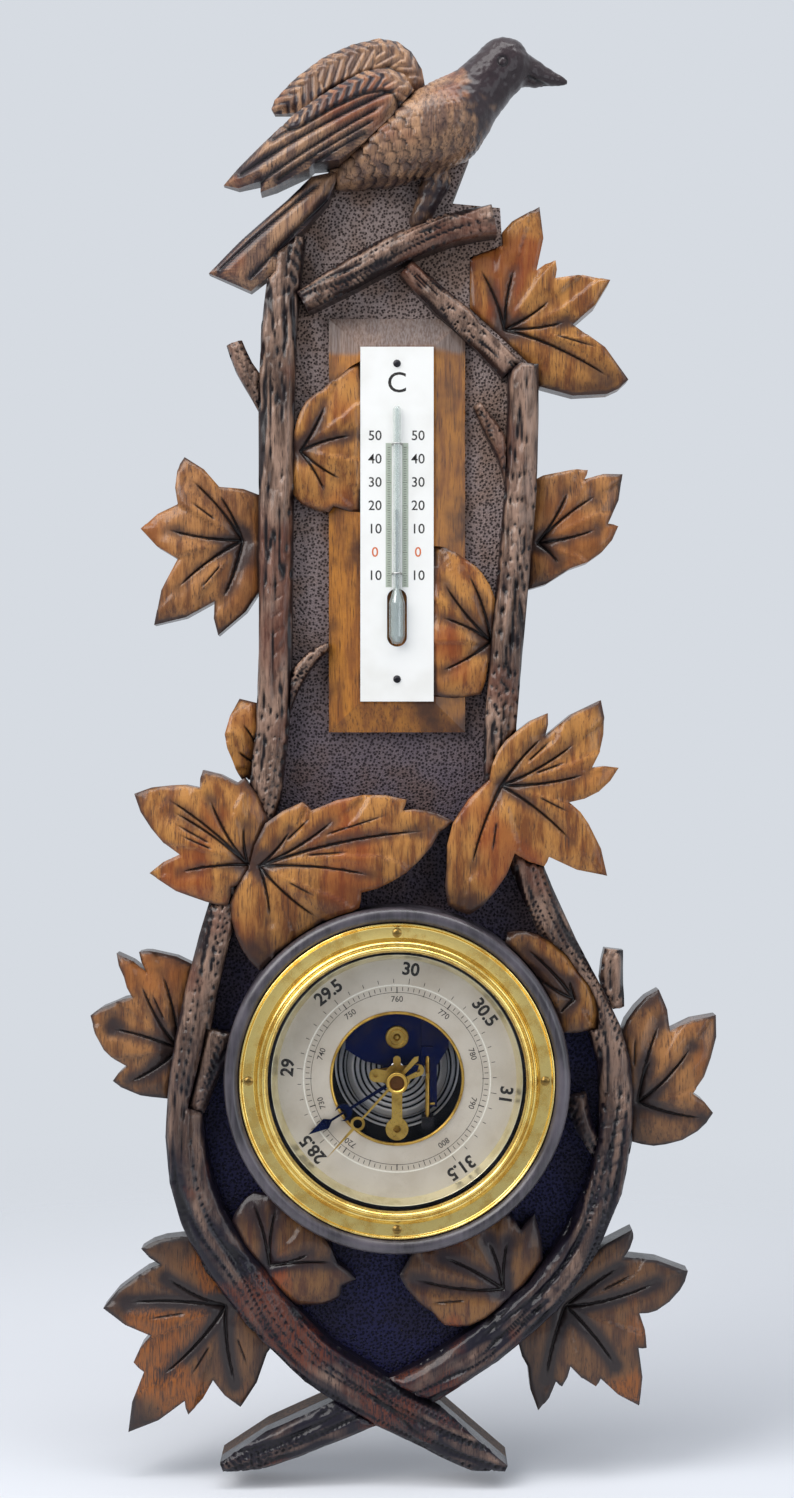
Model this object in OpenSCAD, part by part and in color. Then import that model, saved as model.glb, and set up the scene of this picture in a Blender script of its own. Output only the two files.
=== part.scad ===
// Carved wall barometer with a thermometer.
// Millimetres. X to the right, Z up, and the wall is the plane Y = 0.
// Everything stands out from the wall towards -Y, and a "level" is a distance from the wall.
// The origin is the middle of the keyhole in the hanger plate.

/* [Carved board] */
// Thickness of the board behind the carving
board_t = 14; // [11:1:18]
// Height of the main branches above the board
branch_h = 13; // [9:1:16]
// Thickness of the leaves fixed to the board's edges
side_leaf_t = 15; // [10:1:17]
// Distance of those leaves from the wall
side_leaf_level = 2; // [1:0.5:5]
// Thickness of the leaves laid on the board
top_leaf_t = 17; // [12:1:20]
// Thickness of the low leaves round the dial and the thermometer
low_leaf_t = 11; // [8:1:13]
// How far a leaf's face falls from its crown to its tips
leaf_crown = 6; // [3:0.5:7]
// Width of a cut vein at the stalk
vein_w = 2.2; // [1.2:0.1:3]
// Thickness of the bird's body
bird_t = 30; // [22:1:36]
// Drop from the keyhole to the middle of the dial
hanger_drop = 338; // [330:1:345]
// Play between two carved pieces
carving_gap = 0.15; // [0.1:0.05:0.3]

/* [Hanger] */
// Width of the hanger plate
hanger_w = 28; // [24:1:36]
// Height of the hanger plate
hanger_h = 46; // [40:1:56]
// Thickness of the hanger plate
hanger_t = 2; // [1.5:0.5:3]
// Radius of the keyhole's round end
keyhole_r = 5; // [4:0.5:6]
// Width of the keyhole's slot
keyhole_slot_w = 5; // [4:0.5:6]
// Length of the slot above the round end's middle
keyhole_slot_l = 11; // [9:1:13]
// Depth of the pocket behind the hanger plate
nail_pocket_depth = 7; // [5:1:8]
// Radius of the hanger screws' shanks
hanger_screw_r = 1.3; // [1:0.1:1.6]

/* [Thermometer] */
// Width of the bevelled panel
panel_w = 58; // [52:1:62]
// Height of the bevelled panel
panel_h = 176; // [168:1:184]
// Thickness of the bevelled panel
panel_t = 8; // [6:0.5:10]
// Thickness left at the panel's outer edge
panel_edge_t = 3.5; // [2:0.5:5]
// Room between the panel's top and the foot of the perch
panel_room = 6; // [4:0.5:9]
// Width of the glass plate
plate_w = 31; // [28:0.5:34]
// Height of the glass plate
plate_h = 150; // [144:1:154]
// Thickness of the glass plate
plate_t = 3; // [2:0.5:4]
// Depth of the plate's seat in the panel
plate_seat = 1; // [0.5:0.1:1.5]
// Radius of the thermometer's stem
stem_tube_r = 1.6; // [1.3:0.1:2]
// Radius of the thermometer's bulb
bulb_r = 3.4; // [2.8:0.1:3.8]
// Length of the bulb
bulb_l = 23; // [18:1:26]
// Wall of the stem and the bulb
tube_wall = 0.9; // [0.7:0.1:1]
// Radius of the staple wire
staple_wire_r = 0.35; // [0.3:0.05:0.5]

/* [Case] */
// Outer radius of the turned wooden ring
ring_r = 73; // [71:0.5:76]
// Height of the wooden ring above the board
ring_h = 23.5; // [22:0.5:26]
// Width of the wooden ring outside the brass bezel
ring_rim_w = 6.8; // [6:0.2:9]
// Width of the bezel's flange outside its bead
bezel_flange_w = 8.4; // [7:0.2:9]
// Height of the bead above the flange
bezel_bead_h = 3.6; // [2.5:0.1:5]
// Thickness of the bezel's flange
bezel_t = 2; // [1.5:0.1:2.5]
// How far the drum that holds the movement lies inside the bead
drum_inset = 3.8; // [3.4:0.1:4.4]
// Wall of the drum
drum_wall = 1; // [0.8:0.1:1.2]
// Distance of the drum's back from the wall
drum_level = 3; // [2:0.5:4]
// How far the glass reaches in under the bead
glass_inset = 0.8; // [0.6:0.1:1.2]
// Thickness of the glass
glass_t = 3; // [2:0.25:3.5]
// Height of the ring that holds the glass off the dial
spacer_h = 6.2; // [5.6:0.1:7.5]
// Radius of a bezel screw's shank
bezel_screw_r = 1.2; // [1:0.1:1.4]

/* [Dial] */
// Thickness of the dial
dial_t = 1; // [0.6:0.1:1.5]
// Radius of the dial's middle opening
dial_opening_r = 28.4; // [26:0.2:30]
// Radius of the dial's pillars
pillar_r = 2.5; // [2:0.1:3.5]
// Room between the tip of a hand and the drum
hand_room = 10; // [8:0.5:14]
// Thickness of a hand
hand_t = 0.8; // [0.5:0.1:1]
// Where the indicating hand points, anticlockwise from the right
hand_angle = 212; // [190:1:235]
// Where the set hand points, anticlockwise from the right
set_hand_angle = 228; // [215:1:270]
// Radius of the set hand's knob
set_knob_r = 4.6; // [4:0.1:5.5]
// Radius of the spindle through the glass
spindle_r = 1.5; // [1.2:0.1:2]

/* [Movement] */
// Room between the base plate and the drum
base_room = 3; // [2.5:0.5:6]
// Thickness of the base plate
base_t = 2.5; // [2:0.1:3]
// Radius of the corrugated capsule
capsule_r = 20.5; // [19:0.5:20.5]
// Height of the capsule's fixed half
capsule_base_t = 2.9; // [2:0.1:3]
// Number of rings pressed into the capsule
capsule_rings = 6; // [4:1:7]
// Thickness of the mainspring
mainspring_t = 1; // [0.8:0.1:1.1]
// Room between the mainspring's edge and the drum, at the height of the middle
mainspring_room = 32; // [30:0.5:36]
// Radius of the rocking shaft
rocker_r = 1; // [0.8:0.1:1.1]
// Distance of the rocking shaft from the middle
rocker_x = 13; // [12.5:0.25:14]
// Radius of the hand's arbor in its bearings
arbor_r = 0.8; // [0.6:0.05:1]
// Radius of the arbor where the chain winds on
arbor_neck_r = 0.45; // [0.35:0.05:0.55]
// Thickness of the cock that carries the arbor
cock_t = 1.5; // [1.2:0.1:1.8]
// Radius of the adjusting screw
adjuster_r = 2; // [1.6:0.1:2.5]
// Clearance of a shaft in its bearing
bearing_gap = 0.06; // [0.03:0.01:0.09]
// Clearance round a fixed screw or pin
fixing_gap = 0.1; // [0.05:0.05:0.2]
// Clearance between pieces that move past each other
moving_gap = 0.3; // [0.25:0.05:0.4]

/* [Hidden] */
$fn = 64;

wood_dark = [0.20, 0.11, 0.07];
wood_leaf = [0.42, 0.22, 0.11];
wood_ground = [0.26, 0.19, 0.15];
brass = [0.80, 0.62, 0.30];
steel = [0.55, 0.56, 0.58];
blued = [0.12, 0.15, 0.35];

// Height of the panel's middle above the dial's middle
perch_foot_up = 328;
panel_up = perch_foot_up - panel_room - panel_h / 2;

// Sizes in the case that follow the wooden ring
bezel_r = ring_r - ring_rim_w;
bezel_bead_r = bezel_r - bezel_flange_w;
bezel_screw_circle = bezel_r - bezel_flange_w / 2;
glass_r = bezel_bead_r - glass_inset;
drum_r = bezel_bead_r - drum_inset;
base_r = drum_r - base_room;
hand_l = drum_r - hand_room;
mainspring_w = 2 * (drum_r - mainspring_room);

// Levels in the case, each the distance from the wall
drum_floor = drum_level + drum_wall;
base_top = drum_floor + base_t;
capsule_seam = base_top + capsule_base_t;
lid_level = capsule_seam + 2.6;
spring_level = lid_level + 3.9;
spring_top = spring_level + mainspring_t;
rocker_level = spring_top + 1.3;
chain_level = rocker_level + 3.5;
cock_level = chain_level + 2;
cock_top = cock_level + cock_t;
dial_level = cock_top + 1;
dial_top = dial_level + dial_t;
hand_level = dial_top + 1.5;
hand_top = hand_level + hand_t;
glass_level = dial_top + spacer_h;
glass_top = glass_level + glass_t;
ring_top = board_t + ring_h;
drum_flange_r = drum_r + 4.4;
drum_flange_t = 1.2;
opening_rim_w = 1.8;

// Capsule, spring and lever
capsule_up = 3;
lid_rim = 0.6;
post_neck_r = 1.5;
post_head_r = 2.8;
post_head_t = 1;
bridge_h = 10;
bridge_up = capsule_up + capsule_r + moving_gap + lid_rim + 0.6 + bridge_h / 2;
bridge_beam_t = 2;
pillar_room = 1.5;
spring_foot = 4;
lever_pin_z = -12;
lever_pin_reach = 2.2;
rocker_low = -18.5;
rocker_high = 9.5;
rocker_post_w = 5;
pivot_r = rocker_r * 0.6;
cock_pillar_z = -21.6;
cock_lug_r = 4.8;

// A solid in front of the wall, drawn as its front view, from one level to another
module relief(from, to) {
    translate([0, -from, 0]) rotate([90, 0, 0]) linear_extrude(to - from) children();
}
// Puts a front view's origin at the middle of the dial
module at_dial() {
    translate([0, 0, -hanger_drop]) children();
}
// A turned piece on the dial's axis: x of the profile is the radius, y the level
module turned() {
    rotate([90, 0, 0]) rotate_extrude($fn = 128) children();
}
// A round pin or hole along the depth
module peg(x, z, r, from, to) {
    translate([x, -from, z]) rotate([90, 0, 0]) cylinder(r = r, h = to - from, $fn = 32);
}
function reversed(list) = [for (i = [len(list) - 1:-1:0]) list[i]];
function flat(p) = [p[0], p[1]];

// Smooth curves through hand-placed points [x, z, width]
function spline_point(a, b, c, d, t) =
    0.5 * (2 * b + (c - a) * t + (2 * a - 5 * b + 4 * c - d) * t * t
        + (3 * b - a - 3 * c + d) * t * t * t);
function spline(path, steps = 2) = [
    for (i = [0:len(path) - 2], s = [0:steps - 1])
        spline_point(path[max(i - 1, 0)], path[i], path[i + 1],
            path[min(i + 2, len(path) - 1)], s / steps),
    path[len(path) - 1]
];
function heading(path, i) =
    let (d = path[min(i + 1, len(path) - 1)] - path[max(i - 1, 0)]) flat(d) / norm(flat(d));
function side_point(path, i, side) =
    let (h = heading(path, i)) flat(path[i]) + [-h[1], h[0]] * side * path[i][2] / 2;
// The front view of a branch that runs along a path
module strip(path, grow = 0) {
    offset(delta = grow)
        polygon([
            for (i = [0:len(path) - 1]) side_point(path, i, 1),
            for (i = [len(path) - 1:-1:0]) side_point(path, i, -1)
        ]);
}

// The branches, from the dial's middle: [x, z, width]
left_path = [
    [-45, 356, 13], [-50, 318, 15], [-51.5, 250, 15], [-51.5, 180, 14], [-56, 119, 14],
    [-71, 80, 13], [-83, 36, 13.5], [-89.5, -6, 15], [-87.5, -43, 18], [-72.5, -77, 20],
    [-33, -121, 20], [22, -152, 19], [47, -163, 17]
];
right_path = [
    [53.5, 302, 13], [52.5, 250, 13.5], [46, 175, 13.5], [43.5, 130, 13.5], [51, 99, 13.5],
    [70, 55, 13.5], [88, 20, 13.5], [93, -8, 14], [88, -47, 15], [62, -93, 17], [14, -129, 17],
    [-8, -138, 17], [-45, -154, 16], [-74, -165, 12]
];
perch_path = [[-40, perch_foot_up, 10], [-19, 340, 13], [1, 351, 13], [22, 359, 12.5], [41, 363, 13]];
top_right_path = [[4, 343, 8], [19.5, 328, 10.5], [38, 312, 11.5], [49, 300, 12]];
twig_paths = [
    [[-69, 311, 7], [-65, 301, 8], [-58, 290, 9], [-52, 278, 8]],
    [[92, 54, 8], [91, 42, 10], [93, 29, 7]],
    [[-29, 183, 3], [-37, 177, 6], [-45, 165, 7], [-49, 150, 4]],
    [[34, 285, 4], [40, 275, 7], [46, 263, 7], [49, 248, 4]],
    [[-75, 19, 11], [-79, 4, 10], [-85, -14, 7]],
    [[76, -8, 9], [79, -20, 8], [86, -34, 5]]
];
spline_steps = 2;
// The carving round the case is drawn for this ring, and moves out or in with another one
ring_drawn_r = 73;
function by_ring(p) =
    let (share = min(1, max(0, (160 - p[1]) / 60)), grow = (ring_r - ring_drawn_r) * share / max(norm(flat(p)), 1))
    [p[0] * (1 + grow), p[1] * (1 + grow), if (len(p) > 2) p[2]];
function all_by_ring(path) = [for (p = path) by_ring(p)];
left_curve = spline(all_by_ring(left_path), spline_steps);
right_curve = spline(all_by_ring(right_path), spline_steps);
left_split = 4 * spline_steps + 1;
right_split = 4 * spline_steps;
left_upper_curve = [for (i = [0:left_split]) left_curve[i]];
left_lower_curve = [for (i = [left_split:len(left_curve) - 1]) left_curve[i]];
right_upper_curve = [for (i = [0:right_split]) right_curve[i]];
right_lower_curve = [for (i = [right_split:len(right_curve) - 1]) right_curve[i]];
crossing_left = 10 * spline_steps + 1;
crossing_right = 10 * spline_steps + 1;
board_top = [
    [-49, 366], [-24, 381], [-20, 392], [12, 404], [31, 393], [23, 372], [44, 370],
    [45, 354], [31, 349], [31, 327], [43, 316], [60, 300]
];

// Leaves: [stalk point from the dial's middle, outline, vein ends, bow of the edges].
// Outline and vein ends are counted from the stalk point.
top_right = [[46, 318], [
    [-6, 36], [15, 53], [13.5, 25], [21.5, 29], [21.5, 21.5], [45, 21], [29, 2], [53, -21],
    [44, -27], [15, -24], [14, -18], [-3, -6], [-16, 9], [-18, 26]
], [[-10.5, 26], [4, 26], [19, 12], [46, -21], [26, 3]], 0.08];
left_upper = [[-66, 228], [
    [-25, 36], [-28, 29.5], [-27.5, 15.5], [-43.5, 5], [-27.5, -8], [-38, -36], [-12, -26],
    [-10.5, -40.5], [10, -17.5], [10, 18.5], [-10, 23]
], [[-22, 26], [-32, 4.5], [-27.5, -20.5], [-8.5, -25], [-10, 19.5]], 0.07];
right_upper = [[60, 227], [
    [-8, 23.5], [14, 31], [21.5, 31], [20, 27], [36.5, 29.5], [30, 8], [34.5, 7],
    [27.5, -4], [14, -11], [-8, -21]
], [[13, 22], [25, 20], [25, 5.5], [9, -9]], 0.07];
left_bud = [[-55, 130], [
    [-12.5, 30.5], [-18.5, 15], [-15, 3.5], [-11.5, -4], [3, -4], [3, 25]
], [[-11, 20], [-13, 8], [-3, 22], [-7, -1]], 0.05];
left_mid = [[-63, 90], [
    [-48, 30], [-33, 33.5], [-20, 32.5], [-19, 40], [-4.5, 34.5], [-1.5, 36.5], [8, 21],
    [10, 0], [-7, -9.5], [-8.5, -17], [-17.5, -15.5], [-41.5, -3.5], [-28.5, 4.5], [-40.5, 15.5]
], [[-31.5, 22.5], [-16, 28.5], [-28.5, -3], [-1.5, 16.5], [-34, 28]], 0.06];
centre_left = [[-58, 89.5], [
    [2.5, 18], [18, 27], [22, 23.5], [44, 30], [62, 28], [60.5, 23.5], [69.5, 23.5],
    [81.5, 19], [76, 14.5], [67.5, 2.5], [55.5, -6.5], [43, -11], [42, -17.5], [26.5, -23],
    [20, -27.5], [7, -36.5], [0, -44], [-4.5, -39.5], [-10, -29.5], [-12.5, -15.5], [-4.5, -1]
], [[13, 15], [72, 15], [25, -22], [4.5, -22], [32, 20], [48, -4]], 0.05];
right_mid = [[44, 123.5], [
    [-1.5, 14.5], [6, 22.5], [19.5, 30.5], [18.5, 21], [42, 36], [43, 21.5], [38, 7.5],
    [49.5, 7.5], [41, -2.5], [28.5, -7], [36.5, -16], [44.5, -38], [20, -30], [18, -34],
    [5.5, -28.5], [-3, -45], [-13.5, -54.5], [-22.5, -50.5], [-23, -34.5], [-20.5, -16], [-5, 2.5]
], [[31, 18], [29.5, -23.5], [-12.5, -34.5], [17, 20], [36, 5]], 0.06];
left_lower = [[-93, 10.5], [
    [-27, 41], [-23.5, 31], [-20, 22.5], [-28, 20], [-38, 14.5], [-32, 0], [-22.5, -7],
    [-28.5, -13.5], [-21, -18], [-12, -20.5], [6, -20.5], [9, 34.5], [-12.5, 42],
    [-17.5, 41.5], [-14, 33]
], [[-28.5, 9], [-16.5, 28.5], [-7.5, 33], [-21.5, -14]], 0.06];
right_lower = [[103, -12], [
    [-7.5, 28.5], [-1, 40.5], [9, 48], [13.5, 30.5], [33.5, 37], [31, 19], [23, 4],
    [32, -4.5], [25.5, -12.5], [12, -18.5], [2, -18.5], [-14, -12], [-14, 20]
], [[22.5, 24], [5, 19], [27.5, -6.5], [9, 34]], 0.07];
left_bottom = [[-73, -99], [
    [-12, 28.5], [-26.5, 28.5], [-36.5, 24], [-28.5, 17.5], [-39, 12], [-52.5, -1],
    [-32, -12], [-39.5, -24], [-35, -28], [-42, -54.5], [-17.5, -40], [-16, -46],
    [-5.5, -31.5], [6, -43.5], [17.5, -20], [22, -12], [10, 6], [-4, 24]
], [[-42, 1.5], [-27.5, -29.5], [4, -33], [-25.5, 12]], 0.06];
right_bottom = [[72, -99], [
    [7, 18], [28.5, 32.5], [29, 29], [25, 21], [52.5, 14.5], [49, 6.5], [39, -2],
    [31.5, -3], [34.5, -17.5], [31, -17.5], [31.5, -43], [15, -31], [13, -34.5],
    [2, -25.5], [-1.5, -34.5], [-4, -32.5], [-11.5, -45.5], [-16, -26.5], [-20, -16.5],
    [-22, -8], [-10, 12]
], [[39, 10], [21, -25], [-8, -31], [23, 16.5]], 0.06];
thermo_left = [[-41, 265], [
    [28, 39.5], [15, 31], [9.5, 26], [2.5, 21], [-1.5, 12], [-3, -1], [-4, -16.5],
    [0.5, -22], [12, -25.5], [14, -23], [28, -26]
], [[10.5, 19.5], [22, 6.5], [17.5, -12], [10.5, -17.5]], 0.05];
thermo_right = [[40, 184.5], [
    [-27, 40], [-20.5, 40], [-9.5, 34], [-4, 29], [1.5, 18], [1.5, 1.5], [-1.5, -10],
    [-4.5, -22.5], [-27, -23]
], [[-10, 29], [-20, 24.5], [-21, 10], [-21, -12.5]], 0.05];
dial_upper_right = [[75, 33], [
    [-28, 28], [-20.5, 28.5], [-10, 24.5], [2, 11], [9, 0], [10, -12.5], [-8, -14], [-30, 10]
], [[-20, 21], [-18, 11], [-6, -6], [-2, 8]], 0.06];
dial_lower_left = [[-54, -80], [
    [-7, 30], [-12, 26], [-17, 16.5], [-8, 1], [3, -12], [12, -17], [23, -17],
    [29.5, -14], [30.5, -9], [36.5, -6.5], [28.5, 1], [22, 14], [10, 26]
], [[-7, 27], [3, 25], [17, 5.5], [26.5, 1.5]], 0.05];
dial_lower_right = [[45, -90], [
    [-44, 5.5], [-37.5, -4], [-30, -9.5], [-25, -15], [-14, -15], [-1.5, -7], [17, 12],
    [13.5, 31], [7.5, 25], [2.5, 31], [-8, 34], [-32, 22]
], [[-25.5, 14], [-38, 4.5], [-6.5, 21], [2, 21]], 0.05];

function turning(list) = let (n = len(list))
    [for (i = 0, s = 0; i < n; s = s + cross(list[i], list[(i + 1) % n]), i = i + 1) s][n - 1];
// Bows every edge of an outline outwards
function bowed(list, bow) = let (n = len(list), way = sign(turning(list))) [
    for (i = [0:n - 1], s = [0:1])
        let (a = list[i], b = list[(i + 1) % n], t = s / 2, d = b - a)
        a + d * t + way * bow * 4 * t * (1 - t) * [d[1], -d[0]]
];
function stalk(leaf) = by_ring(leaf[0]);
function leaf_middle(leaf) = let (o = leaf[1], s = stalk(leaf)) [for (k = [0, 1])
    s[k] + (min([for (p = o) p[k]]) + max([for (p = o) p[k]])) / 2];
function leaf_reach(leaf) =
    max([for (p = leaf[1]) norm(p + stalk(leaf) - leaf_middle(leaf))]);
function crown_radius(leaf) = let (r = leaf_reach(leaf)) (r * r / leaf_crown + leaf_crown) / 2;
// How far the crowned face has fallen at a point [x, z]
function crown_fall(leaf, p) =
    let (r = crown_radius(leaf), d = norm(p - leaf_middle(leaf))) r - sqrt(r * r - d * d);
module leaf_plan(leaf, grow = 0) {
    offset(delta = grow) translate(stalk(leaf)) polygon(bowed(leaf[1], leaf[3]));
}
// A pointed cutter whose tip lies below a carved face
module gouge(x, z, level, w) {
    translate([x, -level + 0.7 * w, z]) rotate([90, 0, 0])
        cylinder(r1 = 0.05, r2 = w * 1.2, h = w * 2, $fn = 4);
}
module vein(leaf, tip, top, bend) {
    steps = 2;
    side = [tip[1], -tip[0]] * bend;
    for (i = [0:steps - 1]) hull() for (k = [i, i + 1]) {
        t = k / steps;
        p = stalk(leaf) + tip * t + side * t * (1 - t);
        gouge(p[0], p[1], top - crown_fall(leaf, p), vein_w * (1 - 0.6 * t));
    }
}
// A carved leaf; the children are the front views of what it makes room for
module carved_leaf(leaf, level, thickness) {
    top = level + thickness;
    middle = leaf_middle(leaf);
    r = crown_radius(leaf);
    color(wood_leaf) at_dial() difference() {
        intersection() {
            relief(level, top) difference() {
                leaf_plan(leaf);
                children();
            }
            translate([middle[0], r - top, middle[1]]) sphere(r, $fn = 72);
        }
        for (i = [0:len(leaf[2]) - 1]) vein(leaf, leaf[2][i], top, i % 2 == 0 ? 0.12 : -0.12);
    }
}

// Front views that carved pieces make room for
module board_plan(grow = 0) {
    offset(delta = grow) union() {
        polygon(concat(
            [for (i = [0:crossing_left]) flat(left_curve[i])],
            [for (i = [crossing_right:-1:0]) flat(right_curve[i])],
            reversed(board_top)
        ));
        strip(left_curve);
        strip(right_curve);
    }
}
module ring_plan() {
    circle(ring_r + carving_gap, $fn = 128);
}
module plate_plan(grow = 0) {
    translate([0, panel_up]) square([plate_w + 2 * grow, plate_h + 2 * grow], center = true);
}
module panel_plan(grow = 0) {
    translate([0, panel_up]) square([panel_w + 2 * grow, panel_h + 2 * grow], center = true);
}

// A branch with a rounded back swept along a curve; children as for a leaf
branch_section = [[-0.5, 0], [-0.5, 0.42], [-0.34, 0.82], [0, 1], [0.34, 0.82], [0.5, 0.42], [0.5, 0]];
function wobble(i) = 1 + 0.06 * sin(i * 97);
module branch_body(curve, level, height) {
    n = len(curve);
    m = len(branch_section);
    points = [for (i = [0:n - 1], s = branch_section)
        let (h = heading(curve, i), across = [-h[1], h[0]] * s[0] * curve[i][2])
        [curve[i][0] + across[0], -level - s[1] * height * wobble(i), curve[i][1] + across[1]]];
    sides = [for (i = [0:n - 2], k = [0:m - 1], half = [0, 1])
        let (a = i * m + k, b = i * m + (k + 1) % m)
        half == 0 ? [b, a + m, a] : [b + m, a + m, b]];
    polyhedron(points, concat(
        sides,
        [[for (k = [m - 1:-1:0]) k]],
        [[for (k = [0:m - 1]) (n - 1) * m + k]]
    ));
}
// Long cuts along the bark
module bark(curve, level, height, lines) {
    for (line = lines, i = [0:2:len(curve) - 2]) hull() for (j = [i, i + 1]) {
        h = heading(curve, j);
        across = [-h[1], h[0]] * (line + 0.06 * sin(j * 71)) * curve[j][2];
        gouge(curve[j][0] + across[0], curve[j][1] + across[1],
            level + height * 0.88 * wobble(j), vein_w * (0.9 - 0.3 * (j - i)));
    }
}
module branch(curve, level = board_t, height = branch_h, lines = [-0.26, 0.22]) {
    color(wood_dark) at_dial() difference() {
        branch_body(curve, level, height);
        bark(curve, level, height, lines);
        relief(level - 1, level + 2 * height) children();
    }
}

module backboard() {
    color(wood_ground) difference() {
        at_dial() relief(0, board_t) board_plan();
        at_dial() peg(0, 0, drum_r + moving_gap, -1, board_t + 1);
        relief(-1, hanger_t) square([hanger_w + 2 * fixing_gap, hanger_h + 2 * fixing_gap], center = true);
        nail_pocket();
        for (p = hanger_screw_places) peg(p[0], p[1], hanger_screw_r + fixing_gap, -1, board_t - 3);
    }
}
hanger_screw_places = [for (x = [-1, 1], z = [-1, 1])
    [x * (hanger_w / 2 - 4), z * (hanger_h / 2 - 4)]];
module keyhole_plan(r, w) {
    circle(r);
    translate([-w / 2, 0]) square([w, keyhole_slot_l]);
    translate([0, keyhole_slot_l]) circle(d = w);
}
module nail_pocket() {
    relief(hanger_t - 1, hanger_t + nail_pocket_depth) hull() {
        circle(keyhole_r + 1);
        translate([0, keyhole_slot_l]) circle(keyhole_r + 1);
    }
}
module left_branch_upper() {
    branch(left_upper_curve) {
        leaf_plan(left_mid, carving_gap);
        leaf_plan(centre_left, carving_gap);
        tail_plan(carving_gap);
        strip(spline(perch_path), carving_gap);
    }
}
module left_branch_lower() {
    branch(left_lower_curve) {
        leaf_plan(left_mid, carving_gap);
        leaf_plan(centre_left, carving_gap);
        ring_plan();
        strip(twig_curve(4), carving_gap);
    }
}
module right_branch_upper() {
    branch(right_upper_curve) {
        leaf_plan(right_mid, carving_gap);
        strip(spline(top_right_path), carving_gap);
    }
}
module right_branch_lower() {
    branch(right_lower_curve) {
        leaf_plan(right_mid, carving_gap);
        leaf_plan(dial_upper_right, carving_gap);
        ring_plan();
        strip(left_curve, carving_gap);
    }
}
module perch_branch() {
    branch(spline(perch_path), board_t, branch_h * 1.2) leg_plan(carving_gap);
}
module top_right_branch() {
    branch(spline(top_right_path), board_t, branch_h * 0.9) {
        strip(spline(perch_path), carving_gap);
        leaf_plan(top_right, carving_gap);
    }
}
function twig_curve(i) = spline(all_by_ring(twig_paths[i]));
module twig(i, height) {
    branch(twig_curve(i), board_t, height, [0.1]) children();
}
module twigs() {
    twig(0, branch_h * 0.9) strip(left_curve, carving_gap);
    twig(1, branch_h * 0.9) strip(right_curve, carving_gap);
    twig(2, branch_h * 0.7) {
        strip(left_curve, carving_gap);
        panel_plan(carving_gap);
    }
    twig(3, branch_h * 0.7) strip(right_curve, carving_gap);
    twig(4, branch_h) ring_plan();
    twig(5, branch_h) {
        ring_plan();
        strip(right_curve, carving_gap);
    }
}
module side_leaf(leaf) {
    carved_leaf(leaf, side_leaf_level, side_leaf_t) board_plan(carving_gap);
}
module leaf_top_right() {
    side_leaf(top_right);
}
module leaf_left_upper() {
    side_leaf(left_upper);
}
module leaf_right_upper() {
    side_leaf(right_upper);
}
module leaf_left_bud() {
    carved_leaf(left_bud, side_leaf_level, side_leaf_t) {
        board_plan(carving_gap);
        leaf_plan(left_mid, carving_gap);
    }
}
module leaf_left_lower() {
    side_leaf(left_lower);
}
module leaf_right_lower() {
    side_leaf(right_lower);
}
module leaf_left_bottom() {
    side_leaf(left_bottom);
}
module leaf_right_bottom() {
    side_leaf(right_bottom);
}
module leaf_left_mid() {
    carved_leaf(left_mid, board_t, top_leaf_t - 1) leaf_plan(centre_left, carving_gap);
}
module leaf_centre_left() {
    carved_leaf(centre_left, board_t, top_leaf_t) ring_plan();
}
module leaf_right_mid() {
    carved_leaf(right_mid, board_t, top_leaf_t) ring_plan();
}
module leaf_thermo_left() {
    carved_leaf(thermo_left, board_t, low_leaf_t) {
        plate_plan(carving_gap);
        strip(left_curve, carving_gap);
    }
}
module leaf_thermo_right() {
    carved_leaf(thermo_right, board_t, low_leaf_t) {
        plate_plan(carving_gap);
        strip(right_curve, carving_gap);
    }
}
module leaf_dial_upper_right() {
    carved_leaf(dial_upper_right, board_t, low_leaf_t + 1) {
        ring_plan();
        leaf_plan(right_mid, carving_gap);
    }
}
module leaf_dial_lower_left() {
    carved_leaf(dial_lower_left, board_t, low_leaf_t) {
        ring_plan();
        strip(left_curve, carving_gap);
    }
}
module leaf_dial_lower_right() {
    carved_leaf(dial_lower_right, board_t, low_leaf_t) {
        ring_plan();
        strip(left_curve, carving_gap);
        strip(right_curve, carving_gap);
    }
}

// Bird
tail_outline = [
    [-24, 384], [-36, 381], [-51, 367], [-64, 356], [-80, 341], [-62, 333], [-51.5, 341],
    [-50.5, 349], [-40, 358], [-29, 371]
];
near_wing_outline = [
    [7, 415], [3, 421.5], [-3.5, 424.5], [-14, 422], [-27, 414.5], [-42, 405], [-55, 394],
    [-67, 384], [-73.5, 378], [-67, 376], [-57.5, 378], [-57.5, 373.5], [-51, 375.5],
    [-37, 382], [-35, 384], [-24, 385], [-14, 392], [-2.5, 403]
];
far_wing_outline = [
    [12, 419.5], [10.5, 427], [6, 434.5], [0, 438.5], [-7.5, 439.5], [-18.5, 437], [-31.5, 431.5],
    [-43.5, 423], [-52, 415], [-53.5, 411.5], [-52, 409], [-43.5, 409], [-45.5, 403],
    [-27, 412], [-3, 420], [6, 416]
];
module tail_plan(grow = 0) {
    offset(delta = grow) polygon(tail_outline);
}
module near_wing_plan(grow = 0) {
    offset(delta = grow) polygon(near_wing_outline);
}
module leg_plan(grow = 0) {
    offset(delta = grow) polygon([[10, 381], [19, 378], [12, 361], [3, 358]]);
}
module ball(x, z, r) {
    translate([x, -board_t - r * 0.55, z]) sphere(r, $fn = 16);
}
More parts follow.
